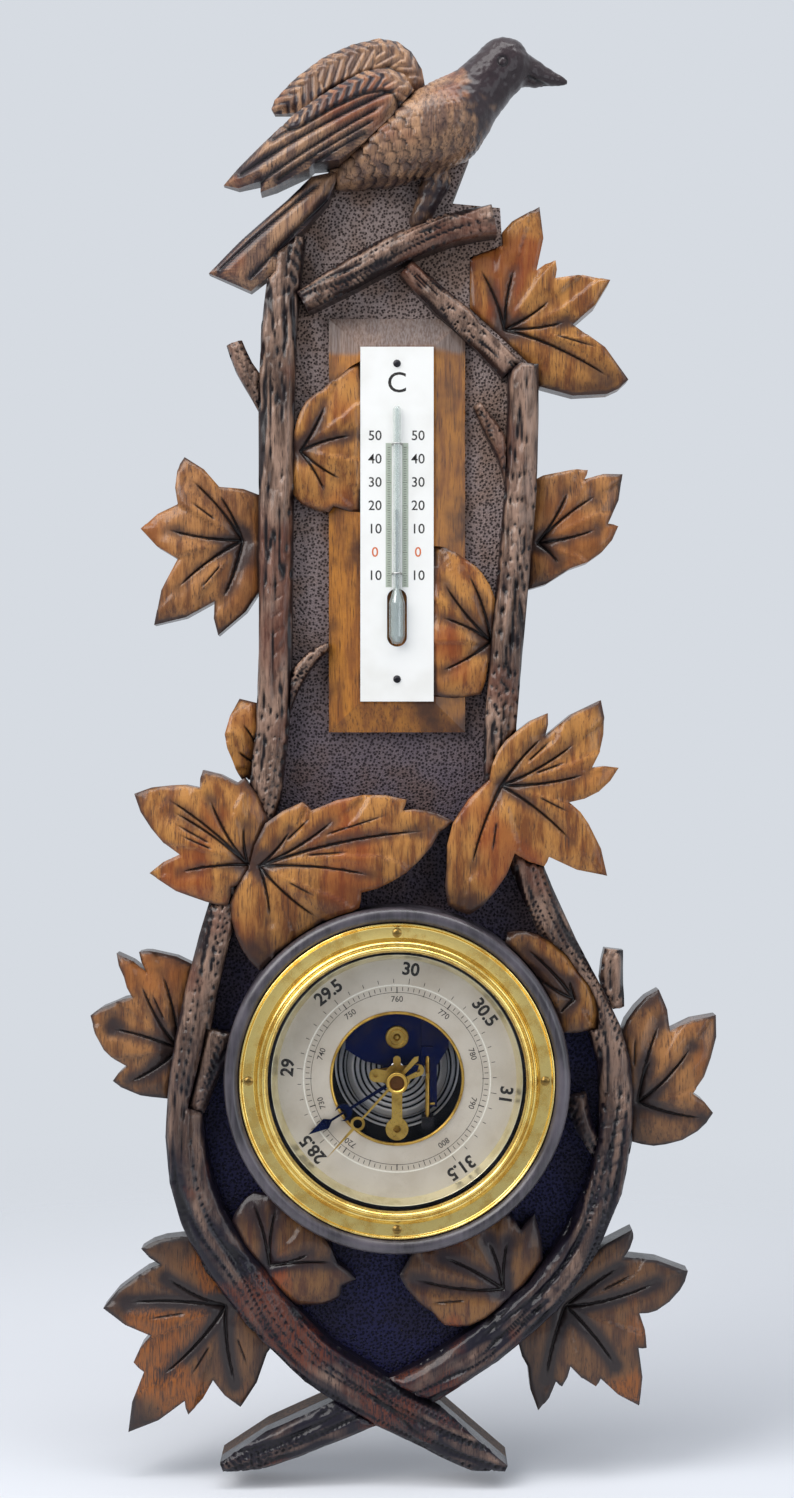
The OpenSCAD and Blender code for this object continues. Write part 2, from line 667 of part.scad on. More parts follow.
module bird_body() {
    chest = bird_t * 0.6;
    color(wood_dark) at_dial() difference() {
        intersection() {
            union() {
                hull() {
                    ball(20, 403, chest);
                    ball(-6, 392, chest * 0.86);
                    ball(-22, 384, chest * 0.45);
                }
                hull() {
                    ball(20, 403, chest);
                    ball(33, 416, chest * 0.72);
                }
                hull() {
                    ball(33, 416, chest * 0.72);
                    ball(45, 429, chest * 0.66);
                }
                hull() {
                    ball(52, 428, chest * 0.42);
                    ball(59, 426, chest * 0.3);
                }
                hull() {
                    ball(59, 426, chest * 0.3);
                    ball(72, 423.5, 1.2);
                }
                hull() {
                    ball(17, 380, chest * 0.34);
                    ball(9, 364, chest * 0.24);
                }
            }
            relief(board_t, board_t + 2 * bird_t) translate([-100, 355]) square(200);
        }
        relief(board_t - 1, board_t + 2 * bird_t) {
            near_wing_plan(carving_gap);
            tail_plan(carving_gap);
        }
        hull() {
            gouge(64, 425.5, board_t + 9, 1.6);
            gouge(69, 424.5, board_t + 6, 1.2);
        }
        hull() {
            gouge(57, 429, board_t + 12, 1.2);
            gouge(60, 431, board_t + 10, 1);
        }
    }
}
// A wing or tail: a crowned slab with long feather cuts
module feathers(outline, level, thickness, crown, cuts) {
    top = level + thickness;
    color(wood_dark) at_dial() difference() {
        intersection() {
            relief(level, top) difference() {
                polygon(outline);
                children();
            }
            translate([crown[0], crown[2] - top, crown[1]]) sphere(crown[2], $fn = 96);
        }
        for (c = cuts, s = [0:2]) hull() for (t = [s / 3, (s + 1) / 3]) {
            p = c[0] + (c[1] - c[0]) * t;
            d = norm(p - flat(crown));
            gouge(p[0], p[1], top - crown[2] + sqrt(crown[2] * crown[2] - d * d), vein_w);
        }
    }
}
module bird_near_wing() {
    feathers(near_wing_outline, board_t + 3, bird_t * 0.75, [-20, 402, 110], [
        [[-2, 414], [-62, 382]], [[-6, 419], [-52, 393]], [[-8, 406], [-52, 377.5]], [[-12, 399], [-30, 386]]
    ]);
}
module bird_far_wing() {
    feathers(far_wing_outline, board_t, bird_t * 0.4, [-15, 425, 120], [
        [[4, 428], [-48, 411]], [[-2, 434], [-46, 417]], [[2, 422], [-40, 410]]
    ]) near_wing_plan(carving_gap);
}
module bird_tail() {
    feathers(tail_outline, board_t, bird_t * 0.45, [-45, 362, 130], [
        [[-28, 379], [-72, 341]], [[-33, 380], [-76, 343]], [[-28, 374], [-60, 340]]
    ]) near_wing_plan(carving_gap);
}

// Wall fixing
module hanger_plate() {
    color(brass) difference() {
        relief(0, hanger_t) difference() {
            square([hanger_w, hanger_h], center = true);
            translate([-keyhole_slot_w / 2, 0]) square([keyhole_slot_w, keyhole_slot_l]);
        }
        peg(0, 0, keyhole_r, -1, hanger_t + 1);
        peg(0, keyhole_slot_l, keyhole_slot_w / 2, -1, hanger_t + 1);
        for (p = hanger_screw_places) {
            peg(p[0], p[1], hanger_screw_r + fixing_gap, -1, hanger_t + 1);
            peg(p[0], p[1], hanger_screw_r * 2 + fixing_gap, -1, hanger_t * 0.6);
        }
    }
}
module hanger_screws() {
    color(steel) for (p = hanger_screw_places) difference() {
        union() {
            peg(p[0], p[1], hanger_screw_r, 0, board_t - 3.5);
            peg(p[0], p[1], hanger_screw_r * 2, 0, hanger_t * 0.6);
        }
        relief(-1, hanger_t * 0.3) translate(p) square([hanger_screw_r * 5, 0.6], center = true);
    }
}

// Thermometer
panel_top = board_t + panel_t;
plate_back = panel_top - plate_seat;
plate_top = plate_back + plate_t;
tube_level = plate_top + stem_tube_r + 0.1;
bulb_z = panel_up - plate_h * 0.34;
tube_top_z = panel_up + plate_h * 0.33;
column_top_z = panel_up + plate_h * 0.04;
staple_heights = [panel_up + plate_h * 0.225, panel_up - plate_h * 0.14];
pin_heights = [panel_up + plate_h * 0.453, panel_up - plate_h * 0.437];
pin_r = 0.9;
staple_path_r = stem_tube_r + staple_wire_r + 0.1;
module thermometer_panel() {
    color(wood_leaf) at_dial() difference() {
        union() {
            relief(board_t, board_t + panel_edge_t) panel_plan();
            hull() {
                relief(board_t + panel_edge_t - 0.1, board_t + panel_edge_t) panel_plan();
                relief(panel_top - 0.1, panel_top) plate_plan(1);
            }
        }
        relief(plate_back, panel_top + 1) plate_plan(fixing_gap);
        relief(board_t - 1, panel_top + 1) {
            leaf_plan(thermo_left, carving_gap);
            leaf_plan(thermo_right, carving_gap);
            strip(spline(top_right_path), carving_gap);
            strip(left_curve, carving_gap);
            strip(right_curve, carving_gap);
        }
        bulb_slot(plate_back - 2);
        for (z = pin_heights) peg(0, z, pin_r + fixing_gap, plate_back - 4, panel_top + 1);
    }
}
module bulb_slot(from) {
    relief(from, plate_top + 1) hull() for (z = [bulb_z, bulb_z + bulb_l - 2 * bulb_r])
        translate([0, z + bulb_r]) circle(bulb_r + 0.8);
}
module thermometer_plate() {
    color("white") at_dial() difference() {
        relief(plate_back, plate_top) plate_plan();
        bulb_slot(plate_back - 1);
        for (z = pin_heights) peg(0, z, pin_r + fixing_gap, plate_back - 1, plate_top + 1);
        for (z = staple_heights, x = [-1, 1])
            peg(x * staple_path_r, z, staple_wire_r + fixing_gap, plate_back - 1, plate_top + 1);
    }
}
// A standing tube: profile of radius and height
module upright(x, level, z) {
    translate([x, -level, z]) rotate_extrude($fn = 32) children();
}
module thermometer_tube() {
    neck = bulb_l - bulb_r;
    top = tube_top_z - bulb_z;
    color([0.85, 0.9, 0.9, 0.5]) at_dial() upright(0, tube_level, bulb_z) polygon([
        [0, 0], [bulb_r * 0.6, 0.5], [bulb_r, bulb_r], [bulb_r, neck - 2], [stem_tube_r, neck + 4],
        [stem_tube_r, top - 1], [stem_tube_r - 0.5, top], [stem_tube_r - tube_wall, top],
        [stem_tube_r - tube_wall, neck + 4], [bulb_r - tube_wall, neck - 2],
        [bulb_r - tube_wall, bulb_r], [bulb_r * 0.6 - tube_wall * 0.6, tube_wall + 0.5], [0, tube_wall]
    ]);
}
module thermometer_mercury() {
    neck = bulb_l - bulb_r;
    gap = 0.05;
    wall = tube_wall + gap;
    color(steel) at_dial() upright(0, tube_level, bulb_z) polygon([
        [0, wall], [bulb_r * 0.6 - wall * 0.6, wall + 0.6], [bulb_r - wall, bulb_r + gap],
        [bulb_r - wall, neck - 2 - gap], [stem_tube_r - wall, neck + 4],
        [stem_tube_r - wall, column_top_z - bulb_z], [0, column_top_z - bulb_z]
    ]);
}
module tube_staples() {
    color(steel) at_dial() for (z = staple_heights) translate([0, -tube_level, z]) {
        rotate([180, 0, 0]) rotate_extrude(angle = 180, $fn = 48)
            translate([staple_path_r, 0]) circle(staple_wire_r, $fn = 16);
        for (x = [-1, 1]) translate([x * staple_path_r, 0, 0]) rotate([-90, 0, 0])
            cylinder(r = staple_wire_r, h = tube_level - plate_back, $fn = 16);
    }
}
module plate_pins() {
    color(steel) at_dial() for (z = pin_heights) {
        peg(0, z, pin_r, plate_back - 3.5, plate_top);
        translate([0, -plate_top, z]) rotate([90, 0, 0]) rotate_extrude($fn = 32)
            polygon([[0, 0], [pin_r * 1.8, 0], [pin_r * 1.5, 0.5], [pin_r * 0.8, 0.9], [0, 1]]);
    }
}

// Case
bezel_level = glass_level;
bezel_top = bezel_level + bezel_t;
bead_top = bezel_top + bezel_bead_h;
ledge_r = bezel_r + moving_gap;
bezel_screw_places = [for (a = [0:90:270]) bezel_screw_circle * [cos(a), sin(a)]];
adjuster_place = [-mainspring_w / 2 - 8, bridge_up];
module wood_ring() {
    flange_seat = bezel_level - drum_flange_t;
    color(wood_dark) at_dial() difference() {
        turned() polygon([
            [drum_r + moving_gap, board_t], [ring_r, board_t], [ring_r, board_t + 6],
            [ring_r - 1.2, board_t + 8], [ring_r - 1.2, board_t + 14], [ring_r - 0.4, board_t + 16],
            [ring_r - 0.4, ring_top - 3], [ring_r - 1.6, ring_top - 0.8], [ring_r - 3, ring_top],
            [ledge_r + 1.5, ring_top - 0.4], [ledge_r, ring_top - 2], [ledge_r, bezel_level],
            [drum_flange_r + fixing_gap, bezel_level], [drum_flange_r + fixing_gap, flange_seat],
            [drum_r + moving_gap, flange_seat]
        ]);
        for (p = bezel_screw_places) peg(p[0], p[1], bezel_screw_r + fixing_gap, bezel_level - 9, ring_top);
    }
}
module bezel() {
    lip_r = glass_r - 3;
    color(brass) at_dial() difference() {
        turned() polygon([
            [glass_r + fixing_gap, bezel_level], [bezel_r, bezel_level], [bezel_r, bezel_top - 0.6],
            [bezel_r - 0.6, bezel_top], [bezel_bead_r + 0.8, bezel_top], [bezel_bead_r, bezel_top + 0.8],
            [bezel_bead_r, bead_top - 1.4], [bezel_bead_r - 0.6, bead_top - 0.4],
            [bezel_bead_r - 1.6, bead_top], [lip_r + 1.4, bead_top - 0.2], [lip_r + 0.4, bead_top - 1],
            [lip_r, glass_top + fixing_gap], [glass_r + fixing_gap, glass_top + fixing_gap]
        ]);
        for (p = bezel_screw_places) peg(p[0], p[1], bezel_screw_r + fixing_gap, bezel_level - 1, bezel_top + 1);
    }
}
module bezel_screws() {
    color(brass) at_dial() for (p = bezel_screw_places) difference() {
        union() {
            peg(p[0], p[1], bezel_screw_r, bezel_level - 8.5, bezel_top);
            translate([p[0], -bezel_top, p[1]]) rotate([90, 0, 0]) rotate_extrude($fn = 32)
                polygon([[0, 0], [bezel_screw_r * 1.6, 0], [bezel_screw_r * 1.5, 0.5], [bezel_screw_r * 0.9, 0.9], [0, 1]]);
        }
        relief(bezel_top + 0.5, bezel_top + 2) translate(p) square([bezel_screw_r * 4, 0.5], center = true);
    }
}
module dial_glass() {
    color([0.8, 0.9, 0.9, 0.3]) at_dial() difference() {
        peg(0, 0, glass_r, glass_level, glass_top);
        peg(0, 0, spindle_r + bearing_gap, glass_level - 1, glass_top + 1);
    }
}
spacer_out_r = drum_r - drum_wall - fixing_gap;
module glass_spacer() {
    color(brass) at_dial() turned() polygon([
        [spacer_out_r - 1.8, dial_top], [spacer_out_r, dial_top], [spacer_out_r, glass_level],
        [spacer_out_r - 1, glass_level]
    ]);
}
module dial() {
    color([0.75, 0.71, 0.64]) at_dial() difference() {
        peg(0, 0, spacer_out_r, dial_level, dial_top);
        peg(0, 0, dial_opening_r, dial_level - 1, dial_top + 1);
    }
}
module dial_rim() {
    out = dial_opening_r - fixing_gap / 2;
    color(brass) at_dial() turned() polygon([
        [out - opening_rim_w + 0.4, dial_level - 0.3], [out, dial_level - 0.3], [out, dial_top],
        [out, dial_top + 0.4], [out - 0.6, dial_top + 0.9], [out - opening_rim_w + 0.4, dial_top + 0.8],
        [out - opening_rim_w, dial_top + 0.3]
    ]);
}
pillar_circle = bridge_up + bridge_h / 2 + pillar_room + pillar_r + 1;
module dial_pillars() {
    color(brass) at_dial() for (a = [90, 210, 330])
        translate([pillar_circle * cos(a), 0, pillar_circle * sin(a)]) rotate([90, 0, 0])
            rotate_extrude($fn = 32) polygon([
                [0, base_top], [pillar_r + 1, base_top], [pillar_r + 1, base_top + 1.5],
                [pillar_r, base_top + 2.5], [pillar_r, dial_level], [0, dial_level]
            ]);
}
module case_drum() {
    color(brass) at_dial() difference() {
        turned() polygon([
            [0, drum_level], [drum_r - 1, drum_level], [drum_r, drum_level + 1],
            [drum_r, bezel_level - drum_flange_t], [drum_flange_r, bezel_level - drum_flange_t],
            [drum_flange_r, bezel_level], [glass_r + fixing_gap, bezel_level], [drum_r - drum_wall, bezel_level],
            [drum_r - drum_wall, drum_floor], [0, drum_floor]
        ]);
        peg(adjuster_place[0], adjuster_place[1], adjuster_r + 1, drum_level - 1, drum_floor + 1);
    }
}

// Movement
module base_plate() {
    color(steel) at_dial() difference() {
        union() {
            peg(0, 0, base_r, drum_floor, base_top);
            translate([rocker_x, 0, rocker_low - rocker_post_w / 2 + 1]) rocker_post(base_top);
        }
        peg(adjuster_place[0], adjuster_place[1], adjuster_r + moving_gap, drum_floor - 1, base_top + 1);
        rocker_pivot_hole();
    }
}
// The upright that carries one end of the rocking shaft
module rocker_post(from) {
    relief(from, rocker_level + 2) square([rocker_post_w, rocker_post_w], center = true);
}
module rocker_pivot_hole() {
    translate([rocker_x, -rocker_level, rocker_low - 2])
        cylinder(r = pivot_r + bearing_gap, h = rocker_high - rocker_low + 4, $fn = 32);
}
module capsule_base() {
    color(brass) at_dial() translate([0, 0, capsule_up]) turned() polygon([
        [0, base_top], [capsule_r - 2, base_top], [capsule_r - 1, base_top + 1],
        [capsule_r - 1, capsule_seam - 1], [capsule_r, capsule_seam - 0.8],
        [capsule_r, capsule_seam], [0, capsule_seam]
    ]);
}
// The pressed lid: rings in a cosine, a skirt round the fixed half and a post in the middle
module capsule_lid() {
    skin = 0.8;
    ring_pitch = (capsule_r - post_neck_r - 2.5) / capsule_rings;
    start = post_neck_r + 1.5;
    wave = [for (i = [0:capsule_rings * 4]) [start + i * ring_pitch / 4, 0.5 * cos(i * 90)]];
    skirt = capsule_r + moving_gap;
    post_top = spring_top + moving_gap + post_head_t;
    color([0.75, 0.72, 0.68]) at_dial() translate([0, 0, capsule_up]) turned() polygon(concat(
        [[0, lid_level - skin]],
        [for (p = wave) [p[0], lid_level - skin + p[1]]],
        [[skirt, lid_level - skin], [skirt, capsule_seam - 0.8], [skirt + lid_rim, capsule_seam - 0.8],
            [skirt + lid_rim, lid_level - 0.3], [skirt, lid_level]],
        [for (p = reversed(wave)) [p[0], lid_level + p[1]]],
        [[post_neck_r + 1, lid_level + 1], [post_neck_r, lid_level + 1.5],
            [post_neck_r, spring_top + moving_gap], [post_head_r, spring_top + moving_gap],
            [post_head_r, post_top - 0.2], [post_head_r - 0.3, post_top], [0, post_top]]
    ));
}
module spring_bridge() {
    beam_w = mainspring_w + 20;
    beam_top = spring_level - moving_gap;
    cap_level = spring_top + moving_gap;
    cap_top = cap_level + 1.5;
    arm_z = rocker_high + 1;
    color(steel) at_dial() difference() {
        union() {
            for (x = [-1, 1]) translate([x * -adjuster_place[0], bridge_up * 0, bridge_up])
                relief(base_top, beam_top) square([9, bridge_h], center = true);
            translate([0, 0, bridge_up]) relief(beam_top - bridge_beam_t, beam_top)
                square([beam_w, bridge_h], center = true);
            for (x = [-1, 1]) translate([x * (mainspring_w / 2 + 1 + 3.5), 0, bridge_up])
                relief(beam_top, cap_top) square([7, bridge_h], center = true);
            translate([0, 0, bridge_up]) relief(cap_level, cap_top)
                square([beam_w, bridge_h], center = true);
            relief(cap_level, cap_top) translate([rocker_x - 2.5, arm_z])
                square([5, bridge_up - arm_z]);
            relief(cap_level, rocker_level + 2) translate([rocker_x - 2.5, arm_z - 2])
                square([5, 4]);
        }
        peg(adjuster_place[0], adjuster_place[1], adjuster_r + bearing_gap, base_top - 1, base_top + 6);
        rocker_pivot_hole();
    }
}
module mainspring() {
    w = mainspring_w / 2;
    low = capsule_up + 1;
    arm_in = rocker_x + lever_pin_reach - 1.2;
    color(blued) at_dial() {
        relief(spring_level, spring_top) difference() {
            polygon([
                [-w, bridge_up + spring_foot], [-w, low + 7], [-w + 8, low + 2], [-6, low], [-6, low - 4],
                [6, low - 4], [6, low], [arm_in, low], [arm_in, lever_pin_z - 1.5],
                [arm_in + 3, lever_pin_z - 1.5], [arm_in + 3, low], [w, low + 8], [w, bridge_up + spring_foot]
            ]);
            translate([0, capsule_up]) circle(post_neck_r + moving_gap);
            translate([-post_neck_r - moving_gap, -20]) square([2 * (post_neck_r + moving_gap), 20 + capsule_up]);
        }
        peg(rocker_x + lever_pin_reach, lever_pin_z, 0.4, spring_top, rocker_level - 0.5 - moving_gap);
    }
}
stud_z = 16.3;
module spring_stud() {
    color(brass) at_dial() translate([0, 0, stud_z]) turned() polygon([
        [0, spring_top], [4.9, spring_top], [4.9, spring_top + 1.2], [4.5, spring_top + 1.5],
        [3.4, spring_top + 1.5], [3, spring_top + 1.2], [1.6, spring_top + 1.2], [0.8, spring_top + 2], [0, spring_top + 2]
    ]);
}
cock_lugs = [[-9, 1, 2.8], [8.8, 3.2, 2.6]];
lower_cock_level = rocker_level + 1.5;
module arbor_cock() {
    hub_r = 5.6;
    color(brass) at_dial() difference() {
        union() {
            relief(cock_level, cock_top) difference() {
                union() {
                    circle(hub_r);
                    for (l = cock_lugs) hull() {
                        circle(2.4);
                        translate([l[0], l[1]]) circle(l[2]);
                    }
                    hull() {
                        circle(1.6);
                        translate([0, 7.6]) circle(1.6);
                    }
                    translate([-2.25, cock_pillar_z]) square([4.5, -cock_pillar_z]);
                    translate([0, cock_pillar_z]) circle(cock_lug_r);
                }
            }
            peg(0, cock_pillar_z, 2.4, base_top, cock_level);
            for (l = cock_lugs) peg(l[0], l[1], 1.4, lower_cock_level, cock_level);
            relief(lower_cock_level, lower_cock_level + 1) hull() for (l = cock_lugs)
                translate([l[0], l[1]]) circle(2);
            relief(lower_cock_level, lower_cock_level + 1) circle(3);
        }
        peg(0, 0, arbor_r + bearing_gap, lower_cock_level - 1, cock_top + 1);
        peg(0, cock_pillar_z, 1.6, cock_level - 3, cock_top + 1);
        for (l = cock_lugs) peg(l[0], l[1], 0.9, cock_level - 1, cock_top + 1);
    }
}
module rocking_shaft() {
    arm_top = chain_level + 0.6;
    color(brass) at_dial() {
        translate([rocker_x, -rocker_level, 0]) union() {
            translate([0, 0, rocker_low + 1.5 + moving_gap]) cylinder(r = rocker_r, h = rocker_high - rocker_low - 3 - moving_gap * 2, $fn = 32);
            translate([0, 0, rocker_low - 1]) cylinder(r = pivot_r, h = rocker_high - rocker_low + 2, $fn = 32);
            translate([0, 0, lever_pin_z]) rotate([0, 90, 0]) cylinder(r = 0.5, h = lever_pin_reach + 0.8, $fn = 24);
        }
        relief(rocker_level, arm_top) translate([rocker_x - 0.7, -0.9]) square([1.4, 2.4]);
    }
}
module hand_arbor() {
    color(steel) at_dial() turned() polygon([
        [0, lower_cock_level], [arbor_r, lower_cock_level], [arbor_r, chain_level - 1],
        [arbor_neck_r, chain_level - 0.9], [arbor_neck_r, chain_level + 0.9], [arbor_r, chain_level + 1],
        [arbor_r, hand_top + 0.3], [0, hand_top + 0.3]
    ]);
}
function ray(a, r) = r * [cos(a), sin(a)];
module indicating_hand() {
    crescent = hand_l * 0.6;
    color(blued) at_dial() relief(hand_level, hand_top) difference() {
        rotate(hand_angle) union() {
            circle(2.6);
            polygon([[0, -0.8], [crescent - 2.2, -0.55], [crescent - 2.2, 0.55], [0, 0.8]]);
            translate([crescent, 0]) difference() {
                circle(3.6);
                translate([1.6, 0]) circle(2.6);
            }
            polygon([
                [crescent - 4.4, -0.4], [hand_l * 0.74, -0.5], [hand_l * 0.8, -2.3], [hand_l, 0],
                [hand_l * 0.8, 2.3], [hand_l * 0.74, 0.5], [crescent - 4.4, 0.4]
            ]);
            polygon([[0, -0.9], [-9, -1.6], [-11, 0], [-9, 1.6], [0, 0.9]]);
        }
        circle(arbor_r + fixing_gap / 2, $fn = 32);
    }
}
// A flat spiral from the arbor to a stud under the cock
module hairspring() {
    turns = 2.75;
    inner = arbor_r + 0.3;
    pitch = 1.1;
    steps = 66;
    arc = [for (i = [0:steps]) let (a = 360 * turns * i / steps) [a, inner + pitch * a / 360]];
    color(steel) at_dial() relief(cock_level - 0.8, cock_level - 0.4) polygon(concat(
        [for (p = arc) ray(p[0], p[1])],
        [for (p = reversed(arc)) ray(p[0], p[1] + 0.25)]
    ));
}
module chain() {
    links = 12;
    from = arbor_neck_r + 0.5;
    pitch = (rocker_x - 0.7 - moving_gap - from) / links;
    color(steel) at_dial() for (i = [0:links - 1])
        translate([from + pitch * (i + 0.5), -chain_level + (i % 2 == 0 ? 0.11 : -0.11), arbor_neck_r + 0.2])
            cube([pitch * 1.6, 0.22, 0.44], center = true);
}
set_hand_level = glass_level - moving_gap - 1.6;
module set_hand() {
    eye = hand_l * 0.56;
    color(brass) at_dial() {
        relief(set_hand_level, set_hand_level + hand_t) rotate(set_hand_angle) union() {
            circle(3);
            polygon([[0, -0.6], [eye - 2.4, -0.4], [eye - 2.4, 0.4], [0, 0.6]]);
            translate([eye, 0]) difference() {
                circle(3);
                circle(1.9);
            }
            polygon([[eye + 2.2, -0.7], [hand_l, 0], [eye + 2.2, 0.7]]);
            polygon([[0, -0.6], [-12, -1.1], [-13.5, 0], [-12, 1.1], [0, 0.6]]);
        }
    }
}
module set_knob() {
    foot = set_hand_level + hand_t;
    knob_level = glass_top + moving_gap;
    color(brass) at_dial() turned() polygon([
        [0, foot], [spindle_r + 0.8, foot], [spindle_r + 0.8, foot + 0.5], [spindle_r, foot + 0.5],
        [spindle_r, knob_level], [set_knob_r * 0.7, knob_level], [set_knob_r * 0.6, knob_level + 1.2],
        [set_knob_r, knob_level + 2], [set_knob_r, knob_level + 4.4], [set_knob_r - 0.5, knob_level + 5],
        [set_knob_r - 1.1, knob_level + 5], [set_knob_r - 1.4, knob_level + 4.2], [0, knob_level + 4]
    ]);
}
module adjusting_screw() {
    color(steel) at_dial() difference() {
        peg(adjuster_place[0], adjuster_place[1], adjuster_r, drum_level + 0.2, base_top + 5);
        relief(drum_level - 1, drum_level + 0.8) translate(adjuster_place)
            square([adjuster_r * 3, 0.7], center = true);
    }
}

backboard();
left_branch_upper();
left_branch_lower();
right_branch_upper();
right_branch_lower();
perch_branch();
top_right_branch();
twigs();
leaf_top_right();
leaf_left_upper();
leaf_right_upper();
leaf_left_bud();
leaf_left_mid();
leaf_centre_left();
leaf_right_mid();
leaf_left_lower();
leaf_right_lower();
leaf_left_bottom();
leaf_right_bottom();
leaf_thermo_left();
leaf_thermo_right();
leaf_dial_upper_right();
leaf_dial_lower_left();
leaf_dial_lower_right();
bird_body();
bird_near_wing();
bird_far_wing();
bird_tail();
hanger_plate();
hanger_screws();
thermometer_panel();
thermometer_plate();
thermometer_tube();
thermometer_mercury();
tube_staples();
plate_pins();
wood_ring();
bezel();
bezel_screws();
dial_glass();
glass_spacer();
dial();
dial_rim();
dial_pillars();
case_drum();
base_plate();
capsule_base();
capsule_lid();
spring_bridge();
mainspring();
spring_stud();
arbor_cock();
rocking_shaft();
hand_arbor();
indicating_hand();
hairspring();
chain();
set_hand();
set_knob();
adjusting_screw();
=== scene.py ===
# %% [markdown]
# # A carved wall barometer with a thermometer
# The construction model is loaded first and stays as a fixed frame. Everything below either
# gives one of its solids a finish, or lays a finer piece over a solid and replaces it.
# The wall is the plane Y = 0, the front looks towards -Y, and Z is up. Blender works in metres.

# %% Load the frame
import math

import bmesh
import bpy
import numpy as np
from mathutils import Matrix, Vector, kdtree, noise


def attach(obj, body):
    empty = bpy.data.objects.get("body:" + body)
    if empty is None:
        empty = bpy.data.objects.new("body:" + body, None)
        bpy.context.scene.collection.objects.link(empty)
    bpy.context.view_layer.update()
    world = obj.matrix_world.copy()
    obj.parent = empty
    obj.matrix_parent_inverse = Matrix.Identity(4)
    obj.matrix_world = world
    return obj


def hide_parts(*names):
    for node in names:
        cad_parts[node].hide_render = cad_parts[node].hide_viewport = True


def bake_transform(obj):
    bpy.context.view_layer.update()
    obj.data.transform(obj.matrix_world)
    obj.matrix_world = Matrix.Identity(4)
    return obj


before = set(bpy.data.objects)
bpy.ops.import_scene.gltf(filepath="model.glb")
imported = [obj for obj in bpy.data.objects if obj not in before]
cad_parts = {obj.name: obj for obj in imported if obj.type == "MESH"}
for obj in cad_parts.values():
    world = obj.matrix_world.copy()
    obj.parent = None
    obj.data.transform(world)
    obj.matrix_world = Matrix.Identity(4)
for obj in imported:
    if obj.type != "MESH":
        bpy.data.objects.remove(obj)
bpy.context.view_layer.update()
print("solids loaded:", len(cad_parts))

# %% [markdown]
# The dial is the middle of this object, so places are given in millimetres from the dial's
# middle: x to the right, z up, and a level, which is the distance from the wall. The frame's
# own origin is the keyhole at the back, which lies DROP above the dial's middle. The front of
# the board lies at level 14. Points closer together than SAME_POINT, in metres, are merged.

# %% Places on the object
MM = 0.001
DROP = 338.0
BOARD_FACE = 14
SAME_POINT = 2e-5


def place(x, z, level):
    return Vector((x * MM, -level * MM, (z - DROP) * MM))


def linked(name, data):
    made = bpy.data.objects.new(name, data)
    bpy.context.scene.collection.objects.link(made)
    return made


print("middle of the dial:", place(0, 0, 0)[:])

# %% [markdown]
# ## Finishes
# Colours are written as seen on a screen, in hexadecimal, and turned into the linear numbers
# that a shader expects.

# %% Colours


def tone(code):
    parts = [int(code[i:i + 2], 16) / 255 for i in (0, 2, 4)]
    linear = [p / 12.92 if p <= 0.04045 else ((p + 0.055) / 1.055) ** 2.4 for p in parts]
    return (*linear, 1.0)


print("middle grey is", round(tone("808080")[0], 3))

# %% [markdown]
# A material in Blender is a small network of nodes. Written out by hand the wiring is long, so
# one class wraps an output socket and lets it be added, multiplied and blended like a number.
# A second class holds the material and makes any other node through one method. Each socket
# takes a number, a vector, a colour's code or the output of another node.

# %% A socket that can be calculated with


class Wire:
    def __init__(self, finish, socket):
        self.finish = finish
        self.socket = socket

    def maths(self, kind, *values):
        return self.finish.node("Math", {"operation": kind}, *values)

    def __add__(self, other):
        return self.maths("ADD", self, other)

    def __sub__(self, other):
        return self.maths("SUBTRACT", self, other)

    def __rsub__(self, other):
        return self.maths("SUBTRACT", other, self)

    def __mul__(self, other):
        return self.maths("MULTIPLY", self, other)

    __radd__ = __add__
    __rmul__ = __mul__

    def least(self, other):
        return self.maths("MINIMUM", self, other)

    def rise(self, low, high):
        smooth = {"interpolation_type": "SMOOTHSTEP"}
        return self.finish.node("MapRange", smooth, self, low, high, 0.0, 1.0)

    def blend(self, first, second):
        mixed = self.finish.node("Mix", {"data_type": "RGBA"}, self, out=2)
        sockets = mixed.socket.node.inputs
        self.finish.plug(sockets[6], first)
        self.finish.plug(sockets[7], second)
        return mixed


print("sockets can be calculated with")

# %% The class that holds a material


